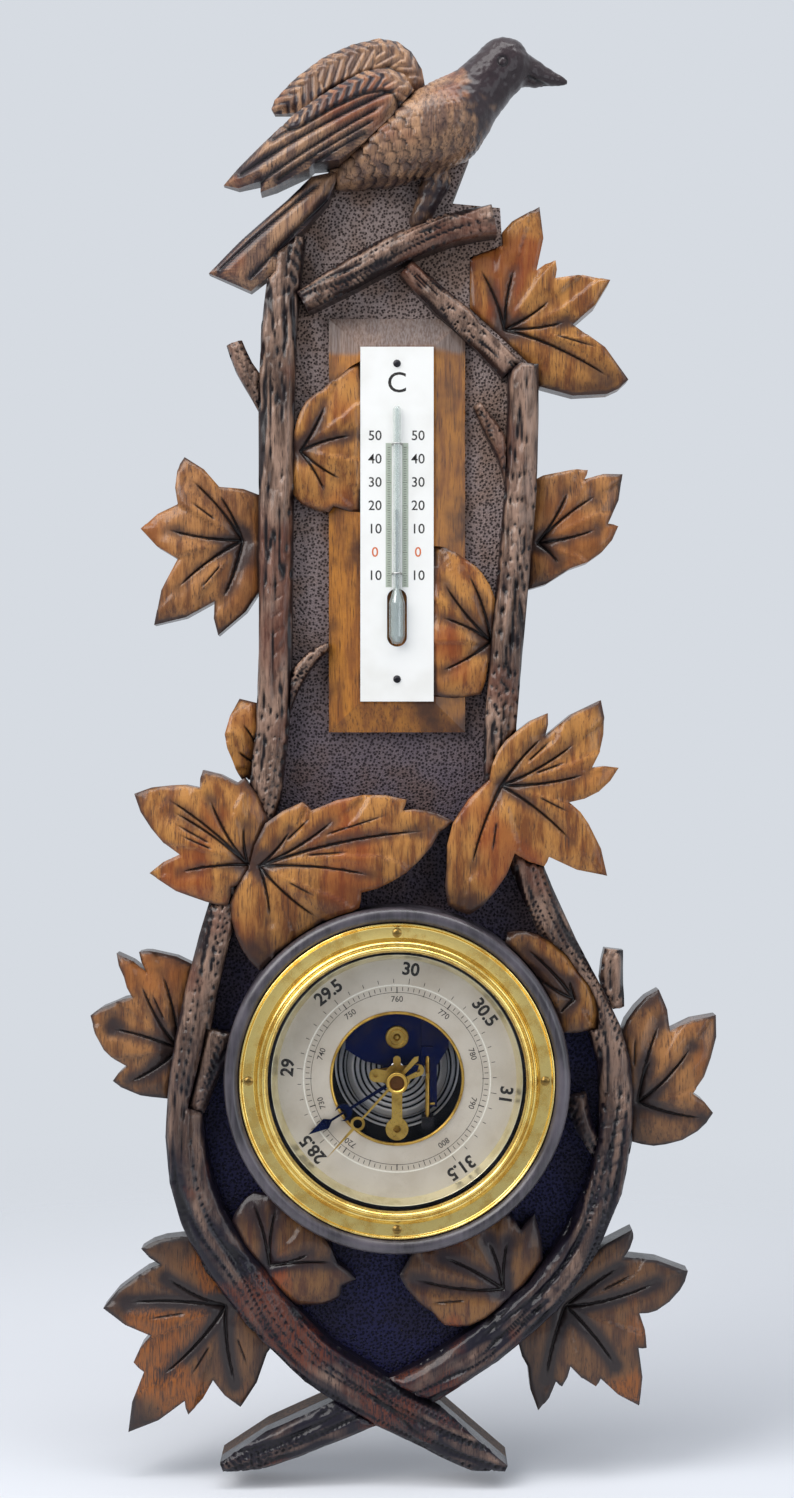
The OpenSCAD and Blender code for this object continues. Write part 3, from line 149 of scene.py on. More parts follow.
class Finish:
    def __init__(self, name, **constants):
        self.material = bpy.data.materials.new(name)
        self.material.use_nodes = True
        self.tree = self.material.node_tree
        self.shader = self.tree.nodes["Principled BSDF"]
        for key, value in constants.items():
            self.give(key.replace("_", " "), value)
        made = self.tree.nodes.new("ShaderNodeTexCoord")
        self.facing = made.outputs["Normal"]
        self.spot = self.vector("SCALE", made.outputs["Object"], Scale=1 / MM)

    def plug(self, socket, value):
        if isinstance(value, str):
            value = tone(value)
        if isinstance(value, Wire):
            value = value.socket
        if isinstance(value, bpy.types.NodeSocket):
            self.tree.links.new(value, socket)
        else:
            socket.default_value = value

    def give(self, socket, value):
        self.plug(self.shader.inputs[socket], value)

    def node(self, kind, settings, *values, out=0, **named):
        made = self.tree.nodes.new("ShaderNode" + kind)
        for key, value in settings.items():
            setattr(made, key, value)
        for socket, value in zip(made.inputs, values):
            self.plug(socket, value)
        for key, value in named.items():
            self.plug(made.inputs[key], value)
        return Wire(self, made.outputs[out])

    def vector(self, kind, *values, **named):
        return self.node("VectorMath", {"operation": kind}, *values, **named)

    def part(self, vector, axis):
        return self.node("SeparateXYZ", {}, vector, out=axis)

    def stretch(self, x, y, z):
        return self.vector("MULTIPLY", self.spot, (x, y, z))

    def cloud(self, spot, scale, detail=3.0, rough=0.5):
        return self.node(
            "TexNoise", {}, spot, out="Fac", Scale=scale, Detail=detail, Roughness=rough
        )

    def punched(self, pitch, order):
        flat = self.node("CombineXYZ", {}, self.part(self.spot, "X"), self.part(self.spot, "Z"))
        return self.node(
            "TexVoronoi", {"voronoi_dimensions": "2D"}, flat, out="Distance",
            Scale=1 / pitch, Randomness=order
        )

    def front(self):
        return self.part(self.facing, "Y").rise(-0.5, -0.9)

    def height(self):
        return self.part(self.spot, "Z") + DROP

    def from_dial(self):
        flat = self.vector("MULTIPLY_ADD", self.spot, (1.0, 0.0, 1.0), (0.0, 0.0, DROP))
        return self.vector("LENGTH", flat, out="Value")

    def painted(self, name):
        return self.node("Attribute", {"attribute_name": name}, out="Fac")

    def bump(self, height, depth_mm, strength=1.0):
        made = self.node("Bump", {}, Strength=strength, Distance=depth_mm * MM, Height=height)
        self.give("Normal", made)


print("materials can be built")

# %% [markdown]
# The wood is walnut or stained limewood under a dark, uneven varnish. An orange brown shows on
# the high places, with its grain running up the board. The carving below stores two numbers on
# every vertex: how much a place stands out to the hand, and how deep in a chisel cut it lies.
# The shader mixes its colours by them, so light and dark follow the carving and not the camera:
# high places are lighter, partly rubbed and partly a painted highlight, low places take the
# stain colour, partly stain and partly painted shade, and the cuts are painted nearly black,
# partly stain and partly painted shade. Around the wooden ring the wood takes painted shade.
# The carved wood darkens towards the bottom, from the first of the two heights below down to
# the second. The plain panel's top is painted grey, between the next two heights, as a
# reflection of the pale light from above.

# %% Carved and varnished wood
# The carved wood darkens towards the bottom between these two heights.
DARKENING_HEIGHTS = (130.0, 10.0)
# Between these heights the panel's top is painted grey, as a reflection of the pale light from
# above.
SHEEN_HEIGHTS = (313.0, 317.0)


def carved_wood(
    name, deep, stain_and_shade, body, bright, glow=None, carved=True, low_darkening=0.8, shade=None, wear_and_sheen=None
):
    made = Finish(name, Coat_Weight=0.38, Coat_Roughness=0.13, Specular_IOR_Level=0.18)
    fibre = made.cloud(made.stretch(1.5, 1.2, 0.12), 1.0, 6.0, 0.62)
    streak = made.cloud(made.stretch(0.2, 0.2, 0.035), 1.0, 4.0, 0.6)
    patch = made.cloud(made.spot, 0.04, 4.0, 0.55)
    colour = streak.rise(0.36, 0.6).blend(body, bright)
    colour = (fibre.rise(0.5, 0.68) * 0.8).blend(colour, stain_and_shade)
    colour = ((1.0 - fibre).rise(0.55, 0.7) * 0.5).blend(colour, bright)
    if carved:
        rub_and_highlight = made.painted("rub_and_highlight")
        ember = made.cloud(made.spot, 0.028, 2.0)
        colour = (ember.rise(0.5, 0.66) * 0.6).blend(colour, glow)
        # Low places take the stain colour, partly stain and partly painted shade; high places keep
        # the lighter wood, partly rubbed and partly a painted highlight.
        rubbed_and_lit = (rub_and_highlight * 1.7 + patch * 2.4 - 1.5).rise(0.0, 0.9)
        colour = rubbed_and_lit.blend(stain_and_shade, colour)
        # Painted shade on the wood around the wooden ring.
        colour = (made.from_dial().rise(104.0, 70.0) * 0.5).blend(colour, deep)
        # Darker towards the bottom.
        low = (made.height() + patch * 160.0).rise(*DARKENING_HEIGHTS) * low_darkening
        colour = (low * (1.5 - rub_and_highlight)).least(1.0).blend(colour, shade)
        hot = ember.rise(0.5, 0.62) * (1.0 - fibre).rise(0.38, 0.58) * low * rubbed_and_lit
        colour = (hot * 0.75).blend(colour, glow)
        # Chisel cuts painted nearly black, partly stain and partly painted shade.
        colour = made.painted("cut").blend(colour, deep)
    else:
        colour = patch.rise(0.3, 0.6).blend(stain_and_shade, colour)
        # Painted reflection: the panel's top turns grey.
        top = (made.height() + patch * 14.0).rise(*SHEEN_HEIGHTS) * 0.85
        colour = top.blend(colour, (fibre.rise(0.35, 0.65) * 0.6).blend(wear_and_sheen, stain_and_shade))
    made.give("Base Color", colour)
    made.give("Roughness", made.cloud(made.spot, 0.09, 3.0) * 0.4 + fibre * 0.2 + 0.08)
    made.bump(fibre + made.cloud(made.spot, 0.5, 4.0) * 0.8, 0.22, 0.8)
    return made.material


LEAF = carved_wood(
    "leaf wood", "120a09", "4a3228", "7d4a26", "bb8244", "94451d", shade="261d22"
)
SIDE_LEAF = carved_wood(
    "outer leaf wood", "120b0b", "42302a", "74492c", "b07a48", "9a5a28",
    low_darkening=1.0, shade="2f2727"
)
BARK = carved_wood(
    "bark wood", "0a0709", "2c1f1f", "5e483c", "a08270", "62301f",
    low_darkening=1.25, shade="17131f"
)
BIRD = carved_wood(
    "bird wood", "0e0b0e", "362b2e", "70564a", "b08868", "8a4524", shade="0e0b0e"
)
PANEL = carved_wood(
    "panel wood", "150d09", "4a2c1a", "8a5426", "b5762f", carved=False, wear_and_sheen="8f8480"
)
print("woods made:", len(bpy.data.materials))

# %% [markdown]
# The sunk ground between the branches is stippled with a small punch, which gives the carving a
# dull and darker floor. Two sizes of punch marks come from Voronoi cells. Low down, beside the
# case, the ground is darker and almost black, with a blue cast painted in as a reflection.

# %% Stippled ground and turned ring


def stippled_ground():
    made = Finish("stippled ground", Coat_Weight=0.1, Coat_Roughness=0.2, Specular_IOR_Level=0.12)
    wander = made.cloud(made.spot, 0.05, 3.0)
    uneven = made.cloud(made.spot, 0.45, 3.0) * 1.5 + 0.35
    marks = (made.punched(1.5, 0.9) * uneven).rise(0.1, 0.5) * 0.75
    marks = marks + made.punched(0.75, 1.0) * 0.35
    # Darker towards the bottom, with a blue cast painted in as a reflection.
    high = (made.height() + wander * 120.0 - 60.0).rise(-10.0, 330.0)
    face = high.blend("1d1d40", "b09d98")
    brown = high.blend("1b1830", "967a6a")
    face = (wander.rise(0.4, 0.62) * 0.8).blend(face, brown)
    pit = high.blend("04040c", "231917")
    front = made.front()
    fibre = made.cloud(made.stretch(0.9, 0.9, 0.04), 1.0, 5.0, 0.6)
    plain = fibre.rise(0.35, 0.65).blend("2a1d17", "5d4433")
    made.give("Base Color", front.blend(plain, marks.blend(pit, face)))
    made.give("Roughness", 0.62 - marks * front * 0.28)
    made.bump((marks + wander * 1.2) * front + fibre * 0.4, 0.6, 1.0)
    return made.material


def ring_wood():
    made = Finish("turned ring wood", Coat_Weight=0.4, Coat_Roughness=0.2)
    haze = made.cloud(made.spot, 0.05, 4.0)
    fibre = made.cloud(made.stretch(0.5, 0.5, 0.05), 1.2, 5.0)
    colour = fibre.rise(0.35, 0.7).blend("2a262b", "464148")
    made.give("Base Color", haze.rise(0.4, 0.75).blend(colour, "5f5961"))
    made.give("Roughness", haze * 0.25 + 0.24)
    made.bump(fibre, 0.1, 0.6)
    return made.material


GROUND = stippled_ground()
RING = ring_wood()
print("ground and ring finishes made")

# %% [markdown]
# The metals are plain: lacquered brass that has gone brown in its hollows, blued steel, bright
# steel and tinned sheet. They differ in colour more than in roughness, so one function serves
# all of them. A slow noise makes the haze and a quick one the specks.

# %% Metals


def metal(name, clean, aged, gloss, scratch=1.0, spots=0.5, pressed=False):
    made = Finish(name, Metallic=0.6 if pressed else 1.0)
    haze = made.cloud(made.spot, 0.12, 5.0, 0.6)
    speck = made.cloud(made.spot, 0.9, 3.0, 0.6)
    wear_and_sheen = haze.rise(0.42, 0.68) * 0.7 + speck.rise(0.55, 0.75) * spots
    colour = wear_and_sheen.least(1.0).blend(clean, aged)
    if pressed:
        # Pressed valleys painted nearly black as shade.
        colour = made.painted("cut").blend(colour, "08090f")
    made.give("Base Color", colour)
    made.give("Roughness", haze * 0.25 + speck * 0.1 + (gloss - 0.12))
    made.bump(speck * 0.5 + haze, 0.05 * scratch, 0.5)
    return made.material


BRASS = metal("old brass", "d9b25a", "8d6a2c", 0.26, 1.6)
BEZEL_BRASS = metal("bezel brass", "fadd86", "d0a44c", 0.2, 0.8, 0.25)
PALE_BRASS = metal("pale brass", "f6efcf", "d9ce9c", 0.3, 0.8, 0.25)
SCREW_BRASS = metal("browned brass", "a08248", "4c3a22", 0.3)
BLUED = metal("blued steel", "131d42", "0c1024", 0.26)
STEEL = metal("bright steel", "c4c4c2", "85827c", 0.26)
TINNED = metal("tinned capsule", "f2f3f6", "d4d6dc", 0.3, pressed=True)
SHADED = metal("blued bridge plate", "141d48", "35303c", 0.3)
DARK = metal("blackened steel", "3c3b3e", "1c1b1d", 0.38)
LACQUER = metal("brown lacquer", "6b4a30", "3a2a20", 0.45)
print("metals made")

# %% [markdown]
# The dial is silvered brass that has gone dull, so it is barely metallic, with specks of brown.
# Glass could be made with refraction, but a thin pane bends light too little to see. A low
# alpha with a strong coat is quicker: what lies behind shows, and the glint stays on top. Print
# wears off in places, so each ink is blended with a dusty tone by a fine noise.

# %% The silvered dial, glass, mercury and print


def silvered():
    made = Finish("silvered dial", Metallic=0.15)
    haze = made.cloud(made.spot, 0.06, 5.0, 0.6)
    speck = made.cloud(made.spot, 0.7, 4.0, 0.7)
    colour = haze.rise(0.35, 0.7).blend("d3cabb", "c4b9a8")
    made.give("Base Color", (speck.rise(0.58, 0.8) * 0.5).blend(colour, "97896f"))
    made.give("Roughness", speck * 0.2 + 0.36)
    return made.material


def opal():
    made = Finish("opal glass", Roughness=0.16, Coat_Weight=0.3, Coat_Roughness=0.05)
    haze = made.cloud(made.spot, 0.05, 3.0)
    made.give("Base Color", haze.rise(0.4, 0.8).blend("fbfbf8", "f0efea"))
    return made.material


def clear_glass(name, tint, clear):
    made = Finish(name, IOR=1.45, Coat_Weight=1.0, Coat_Roughness=0.02)
    dust = made.cloud(made.spot, 0.15, 4.0)
    made.give("Base Color", tint)
    made.give("Roughness", dust * 0.1)
    made.give("Alpha", dust * clear * 0.5 + clear * 0.75)
    return made.material


def ink(name, colour):
    made = Finish(name, Roughness=0.5)
    wear = made.cloud(made.spot, 1.1, 3.0)
    made.give("Base Color", (wear.rise(0.5, 0.8) * 0.35).blend(colour, "8f8575"))
    return made.material


SILVERED = silvered()
OPAL = opal()
CLEAR = clear_glass("dial glass", "2a3036", 0.04)
TUBE = clear_glass("tube glass", "c9d6d2", 0.3)
MERCURY = metal("mercury", "b9bcbc", "8d9090", 0.14)
BLACK_INK = ink("black print", "1b1816")
GREY_INK = ink("fine grey print", "3d3733")
RED_INK = ink("red print", "d9703e")
SCALE_INK = ink("grey green scale band", "b4bdae")
WHITE_INK = ink("white scale line", "f0ece0")
print("all finishes:", len(bpy.data.materials))

# %% [markdown]
# Solids whose shape is already right keep their mesh and only take a finish. All the others
# are replaced by finer pieces further down.

# %% Finishes for the solids
finish_table = {
    "thermometer_panel": PANEL, "thermometer_plate": OPAL, "thermometer_tube": TUBE,
    "thermometer_mercury": MERCURY, "tube_staples": STEEL, "plate_pins": DARK,
    "hanger_plate": BRASS, "hanger_screws": DARK, "bezel_screws": SCREW_BRASS,
    "dial_glass": CLEAR, "dial": SILVERED, "dial_pillars": BRASS, "case_drum": DARK,
    "base_plate": DARK, "spring_bridge": SHADED, "mainspring": SHADED, "spring_stud": BRASS,
    "arbor_cock": BRASS, "rocking_shaft": BRASS, "hand_arbor": STEEL,
    "indicating_hand": BLUED, "hairspring": STEEL, "set_hand": BRASS, "adjusting_screw": STEEL,
}
for node_name, material in finish_table.items():
    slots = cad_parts[node_name].data.materials
    slots.clear()
    slots.append(material)
print("solids with a finish:", len(finish_table))

# %% [markdown]
# ## The carving
# A carver saws the outline first and then works the front down from the face. The same order
# is kept here. The flat back of the plain solid gives the exact outline. It is cut by a fine
# grid of planes with bisect_plane, each point of the grid is brought to the height that a rule
# gives, and last the rim is extruded back to where the solid's back lies. A rule makes a crisp
# cut wherever the grid is fine enough, so on the leaves it is made finer along the veins.

# %% The outline of a carved piece


def copy_of(name, gap=SAME_POINT):
    shape = bmesh.new()
    shape.from_mesh(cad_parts[name].data)
    bmesh.ops.remove_doubles(shape, verts=shape.verts, dist=gap)
    return shape


def back_of(name, level):
    shape = copy_of(name)
    front = [
        face for face in shape.faces
        if any(abs(vert.co.y + level * MM) > SAME_POINT for vert in face.verts)
    ]
    bmesh.ops.delete(shape, geom=front, context="FACES")
    for vert in shape.verts:
        vert.co.y = 0.0
    bmesh.ops.dissolve_limit(
        shape, angle_limit=0.02, use_dissolve_boundaries=False, verts=shape.verts,
        edges=shape.edges, delimit=set()
    )
    return shape


def cut_grid(shape, cell):
    for axis in (0, 2):
        low = min(vert.co[axis] for vert in shape.verts)
        high = max(vert.co[axis] for vert in shape.verts)
        count = int((high - low) / (cell * MM))
        across = Vector((1, 0, 0)) if axis == 0 else Vector((0, 0, 1))
        for k in range(1, count + 1):
            middle = across * (low + (high - low) * (k - 0.5) / count)
            everything = shape.verts[:] + shape.edges[:] + shape.faces[:]
            bmesh.ops.bisect_plane(
                shape, geom=everything, dist=1e-7, plane_co=middle, plane_no=across
            )


print("outline tools ready")

# %% [markdown]
# All the rules work on many points at once, as arrays: a rule takes the x and z of every point
# and returns its height above the piece's back, how rubbed it is, and how deep in a cut. The
# distance to a line comes with the share of the line passed and the side on which a point lies.

# %% Distances
FAR_AWAY = 1e9


def spots_of(shape):
    spots = np.array([vert.co[:] for vert in shape.verts])
    return np.stack([spots[:, 0] / MM, spots[:, 2] / MM + DROP], axis=1)


def rim_distance(shape):
    rim = [vert for vert in shape.verts if vert.is_boundary]
    tree = kdtree.KDTree(len(rim))
    for k, vert in enumerate(rim):
        tree.insert(vert.co, k)
    tree.balance()
    return np.array([tree.find(vert.co)[2] / MM for vert in shape.verts])


def line_distance(spots, line):
    best = np.full(len(spots), FAR_AWAY)
    along = np.zeros(len(spots))
    side = np.zeros(len(spots))
    run = 0.0
    for a, b in zip(line[:-1], line[1:]):
        a, b = np.array(a[:2], float), np.array(b[:2], float)
        way = b - a
        length = float(np.hypot(*way))
        share = np.clip(((spots - a) @ way) / length**2, 0, 1)
        gap = spots - a - share[:, None] * way
        far = np.hypot(gap[:, 0], gap[:, 1])
        closer = far < best
        best = np.where(closer, far, best)
        along = np.where(closer, run + share * length, along)
        turn = way[0] * gap[:, 1] - way[1] * gap[:, 0]
        side = np.where(closer, np.sign(turn) * far, side)
        run += length
    return best, along / run, side


def ease(values, low, high):
    share = np.clip((values - low) / (high - low), 0, 1)
    return share * share * (3 - 2 * share)


def hump(values, width):
    return np.exp(-(values / width) ** 2)


def far_from(spots, point):
    return np.hypot(*(spots - np.array(point, float)).T)


def swell(x, y, z):
    return np.array([noise.noise(spot) for spot in np.broadcast(x, y, z)])


def rough(spots, scale, seed):
    return swell(spots[:, 0] * scale, seed, spots[:, 1] * scale)


print("rules can measure distances")

# %% [markdown]
# Once the front stands, the rim is drawn back to the piece's back level and the back is closed.
# The edge between the front and the sawn side is marked sharp, so it catches a clean line of
# light. The finished piece replaces the plain solid.

# %% From an outline to a closed piece


def object_from(shape, name, material=None):
    mesh = bpy.data.meshes.new(name)
    shape.to_mesh(mesh)
    shape.free()
    if material:
        mesh.materials.append(material)
    return linked(name, mesh)


def piece_from(shape, name, material, nodes=(), body="case"):
    piece = object_from(shape, name, material)
    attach(piece, body)
    if nodes:
        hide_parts(*nodes)
    return piece


def paint(shape, rub_and_highlight, cut):
    layers = [shape.verts.layers.float.new(name) for name in ("rub_and_highlight", "cut")]
    for vert, r, c in zip(shape.verts, rub_and_highlight, cut):
        vert[layers[0]] = float(r)
        vert[layers[1]] = float(c)
    return layers


def close_back(shape, level, layers, side_rub_and_highlight):
    rim = [edge for edge in shape.edges if edge.is_boundary]
    for face in shape.faces:
        face.smooth = True
    made = bmesh.ops.extrude_edge_only(shape, edges=rim)["geom"]
    for edge in rim:
        edge.smooth = False
    foot = [part for part in made if isinstance(part, bmesh.types.BMVert)]
    for vert in foot:
        vert.co.y = -level * MM
        # The sawn sides are painted darker, as shade.
        vert[layers[0]] = side_rub_and_highlight
        vert[layers[1]] = 0.35
    base = [
        part for part in made if isinstance(part, bmesh.types.BMEdge) and part.is_boundary
    ]
    for edge in base:
        edge.smooth = False
    bmesh.ops.edgeloop_fill(shape, edges=base)
    bmesh.ops.recalc_face_normals(shape, faces=shape.faces)


def carve(name, level, cell, rule, material, side_rub_and_highlight=0.25, prepare=None):
    shape = back_of(name, level)
    cut_grid(shape, cell)
    if prepare:
        prepare(shape)
    height, rub_and_highlight, cut = rule(spots_of(shape), rim_distance(shape))
    for vert, h in zip(shape.verts, height):
        vert.co.y = -(level + h) * MM
    close_back(shape, level, paint(shape, rub_and_highlight, cut), side_rub_and_highlight)
    return piece_from(shape, "carved_" + name, material, [name])


print("pieces can be carved")

# %% [markdown]
# ## Leaves
# Each leaf has four to six lobes that meet at the stalk. The face is nearly flat and falls a
# little towards every tip. Thin V cuts run from the stalk into the lobes, and in a long lobe a
# short cut lies beside the vein. The wood swells up softly to both sides of every vein.
# The table gives, for each leaf, the stalk's place, the ends of the veins counted from it, the
# level of its back and its thickness.

# %% The leaves
leaf_table = {
    "leaf_top_right": ((46, 318), [(-10.5, 26), (4, 26), (19, 12), (46, -21), (26, 3)], 2, 15),
    "leaf_left_upper": (
        (-66, 228), [(-22, 26), (-32, 4.5), (-27.5, -20.5), (-8.5, -25), (-10, 19.5)], 2, 15
    ),
    "leaf_right_upper": ((60, 227), [(13, 22), (25, 20), (25, 5.5), (9, -9)], 2, 15),
    "leaf_left_bud": ((-55, 130), [(-11, 20), (-13, 8), (-3, 22), (-7, -1)], 2, 15),
    "leaf_left_mid": (
        (-63, 90), [(-31.5, 22.5), (-16, 28.5), (-28.5, -3), (-1.5, 16.5), (-34, 28)], 14, 16
    ),
    "leaf_centre_left": (
        (-58, 89.5), [(13, 15), (72, 15), (25, -22), (4.5, -22), (32, 20), (48, -4)], 14, 17
    ),
    "leaf_right_mid": (
        (44, 123.5), [(31, 18), (29.5, -23.5), (-12.5, -34.5), (17, 20), (36, 5)], 14, 17
    ),
    "leaf_left_lower": ((-93, 10.5), [(-28.5, 9), (-16.5, 28.5), (-7.5, 33), (-21.5, -14)], 2, 15),
    "leaf_right_lower": ((103, -12), [(22.5, 24), (5, 19), (27.5, -6.5), (9, 34)], 2, 15),
    "leaf_left_bottom": ((-73, -99), [(-42, 1.5), (-27.5, -29.5), (4, -33), (-25.5, 12)], 2, 15),
    "leaf_right_bottom": ((72, -99), [(39, 10), (21, -25), (-8, -31), (23, 16.5)], 2, 15),
    "leaf_thermo_left": (
        (-41, 265), [(10.5, 19.5), (22, 6.5), (17.5, -12), (10.5, -17.5)], 14, 11
    ),
    "leaf_thermo_right": ((40, 184.5), [(-10, 29), (-20, 24.5), (-21, 10), (-21, -12.5)], 14, 11),
    "leaf_dial_upper_right": ((75, 33), [(-20, 21), (-18, 11), (-6, -6), (-2, 8)], 14, 12),
    "leaf_dial_lower_left": ((-54, -80), [(-7, 27), (3, 25), (17, 5.5), (26.5, 1.5)], 14, 11),
    "leaf_dial_lower_right": (
        (45, -90), [(-25.5, 14), (-38, 4.5), (-6.5, 21), (2, 21)], 14, 11
    ),
}
print("leaves:", len(leaf_table))

# %% The rule for a leaf
VEIN_BOW = 0.16
VEIN_DEPTH = 1.5
VEIN_HALF_WIDTH = 0.95
LONG_LOBE = 33
TIP_FALL = 5.0


def vein_lines(stalk, tips):
    stalk = np.array(stalk, float)
    main = []
    side = []
    for k, tip in enumerate(tips):
        tip = np.array(tip, float)
        turn = np.array([tip[1], -tip[0]]) * (VEIN_BOW if k % 2 == 0 else -VEIN_BOW)
        main.append([stalk + tip * t + turn * t * (1 - t) for t in np.linspace(0, 1.0, 8)])
        reach = float(np.hypot(*tip))
        if reach > LONG_LOBE:
            root = stalk + tip * 0.4 + turn * 0.24
            way = tip / reach
            aside = np.array([-way[1], way[0]]) * 4.5
            side.append([root + aside, root + aside * 1.7 + way * reach * 0.4])
    return main, side


def leaf_rule(spots, rim, stalk, main, side, thickness, seed):
    far = far_from(spots, (spots.min(0) + spots.max(0)) / 2)
    reach = far.max()
    height = thickness - TIP_FALL * (far / reach) ** 2
    cut = np.zeros(len(spots))
    nearest = np.full(len(spots), FAR_AWAY)
    tilt = np.zeros(len(spots))
    for line in main:
        gap, along, lean = line_distance(spots, line)
        half = VEIN_HALF_WIDTH - 0.45 * along
        cut = np.maximum(cut, np.clip(1 - gap / half, 0, 1) * (1 - ease(along, 0.8, 1.0)))
        tilt = np.where(gap < nearest, np.clip(lean / 9, -1, 1), tilt)
        nearest = np.minimum(nearest, gap)
    for line in side:
        gap, along, _ = line_distance(spots, line)
        fade = ease(along, 0.0, 0.15) * (1 - ease(along, 0.6, 1.0))
        cut = np.maximum(cut, 0.8 * np.clip(1 - gap / 0.6, 0, 1) * fade)
    root = far_from(spots, stalk)
    height += 1.0 * ease(nearest, 0.3, 6.5) - 1.6 * hump(root, 6.0)
    height += 0.7 * tilt * ease(nearest, 0.0, 5.0)
    height -= VEIN_DEPTH * cut
    height -= 0.9 * (1 - ease(rim, 0.0, 1.2)) + 0.6 * (1 - ease(rim, 0.0, 7.0))
    height += 1.1 * rough(spots, 0.04, seed) + 0.25 * rough(spots, 0.16, seed + 7)
    # Lighter where the leaf stands high, partly rubbed and partly a painted highlight; painted
    # shade at the rim and in the dip at the stalk.
    rub_and_highlight = 0.42 + 0.4 * ease(nearest, 0.5, 6.0) * (1 - ease(far / reach, 0.5, 1.05))
    rub_and_highlight -= 0.3 * (1 - ease(rim, 0.3, 1.6)) + 0.35 * hump(root, 7.0)
    # The veins are painted nearly black as shade.
    return height, rub_and_highlight, np.clip(cut * 1.7, 0, 1)


def finer_near(shape, lines, reach=1.3):
    spots = spots_of(shape)
    near = np.min([line_distance(spots, line)[0] for line in lines], axis=0)
    close = set(np.nonzero(near < reach)[0].tolist())
    shape.verts.index_update()
    fine = [edge for edge in shape.edges if all(vert.index in close for vert in edge.verts)]
    bmesh.ops.subdivide_edges(
        shape, edges=fine, cuts=2, use_grid_fill=True
    )


def carve_leaf(name, cell, material):
    stalk, tips, level, thickness = leaf_table[name]
    main, side = vein_lines(stalk, tips)
    seed = float(len(name)) * 3.1 + stalk[0]

    def rule(spots, rim):
        return leaf_rule(spots, rim, stalk, main, side, thickness, seed)

    def prepare(shape):
        finer_near(shape, main + side)

    return carve(name, level, cell, rule, material, prepare=prepare)


leaf_cell = 1.05
outer_leaves = {
    "leaf_left_upper", "leaf_right_upper", "leaf_left_lower", "leaf_right_lower",
    "leaf_left_bottom", "leaf_right_bottom",
}
leaf_faces = 0
for leaf_name in leaf_table:
    wood = SIDE_LEAF if leaf_name in outer_leaves else LEAF
    leaf_faces += len(carve_leaf(leaf_name, leaf_cell, wood).data.polygons)
print("leaf faces:", leaf_faces)

# %% [markdown]
# ## Branches
# Two vines frame the board, a perch carries the bird, and small twigs are broken off short.
# Bark is not smooth: it runs in long ropes along the branch, with gouges between them and a knot
# here and there. The rule measures each point's place along a line through the middle of the
# branch and its distance to the side of it, and lays the ropes along that line. The line passes
# through the same listed points as the plain solids: x, z and width.

# %% Lines through the branches
left_vine = [
    (-45, 356, 13), (-50, 318, 15), (-51.5, 250, 15), (-51.5, 180, 14), (-56, 119, 14),
    (-71, 80, 13), (-83, 36, 13.5), (-89.5, -6, 15), (-87.5, -43, 18), (-72.5, -77, 20),
    (-33, -121, 20), (22, -152, 19), (47, -163, 17),
]
right_vine = [
    (53.5, 302, 13), (52.5, 250, 13.5), (46, 175, 13.5), (43.5, 130, 13.5), (51, 99, 13.5),
    (70, 55, 13.5), (88, 20, 13.5), (93, -8, 14), (88, -47, 15), (62, -93, 17), (14, -129, 17),
    (-8, -138, 17), (-45, -154, 16), (-74, -165, 12),
]
perch = [(-40, 328, 10), (-19, 340, 13), (1, 351, 13), (22, 359, 12.5), (41, 363, 13)]
top_right = [(4, 343, 8), (19.5, 328, 10.5), (38, 312, 11.5), (49, 300, 12)]
stubs = [
    [(-69, 311, 7), (-65, 301, 8), (-58, 290, 9), (-52, 278, 8)],
    [(92, 54, 8), (91, 42, 10), (93, 29, 7)],
    [(-29, 183, 3), (-37, 177, 6), (-45, 165, 7), (-49, 150, 4)],
    [(34, 285, 4), (40, 275, 7), (46, 263, 7), (49, 248, 4)],
    [(-75, 19, 11), (-79, 4, 10), (-85, -14, 7)],
    [(76, -8, 9), (79, -20, 8), (86, -34, 5)],
]


def smooth_line(points, steps=6):
    points = [np.array(p, float) for p in points]
    line = []
    for i in range(len(points) - 1):
        a, b = points[max(i - 1, 0)], points[i]
        c, d = points[i + 1], points[min(i + 2, len(points) - 1)]
        for t in np.arange(steps) / steps:
            line.append(
                0.5 * (2 * b + (c - a) * t + (2 * a - 5 * b + 4 * c - d) * t**2
                       + (3 * b - a - 3 * c + d) * t**3)
            )
    line.append(points[-1])
    return line


def line_length(line):
    return sum(math.dist(a[:2], b[:2]) for a, b in zip(line[:-1], line[1:]))


print("left vine, mm:", round(line_length(smooth_line(left_vine))))

# %% The rule for bark
GROOVE_DEPTH = 1.9
ROPE_SWELL = 1.3
RUNG_DEPTH = 0.9
ROUND = 1.15


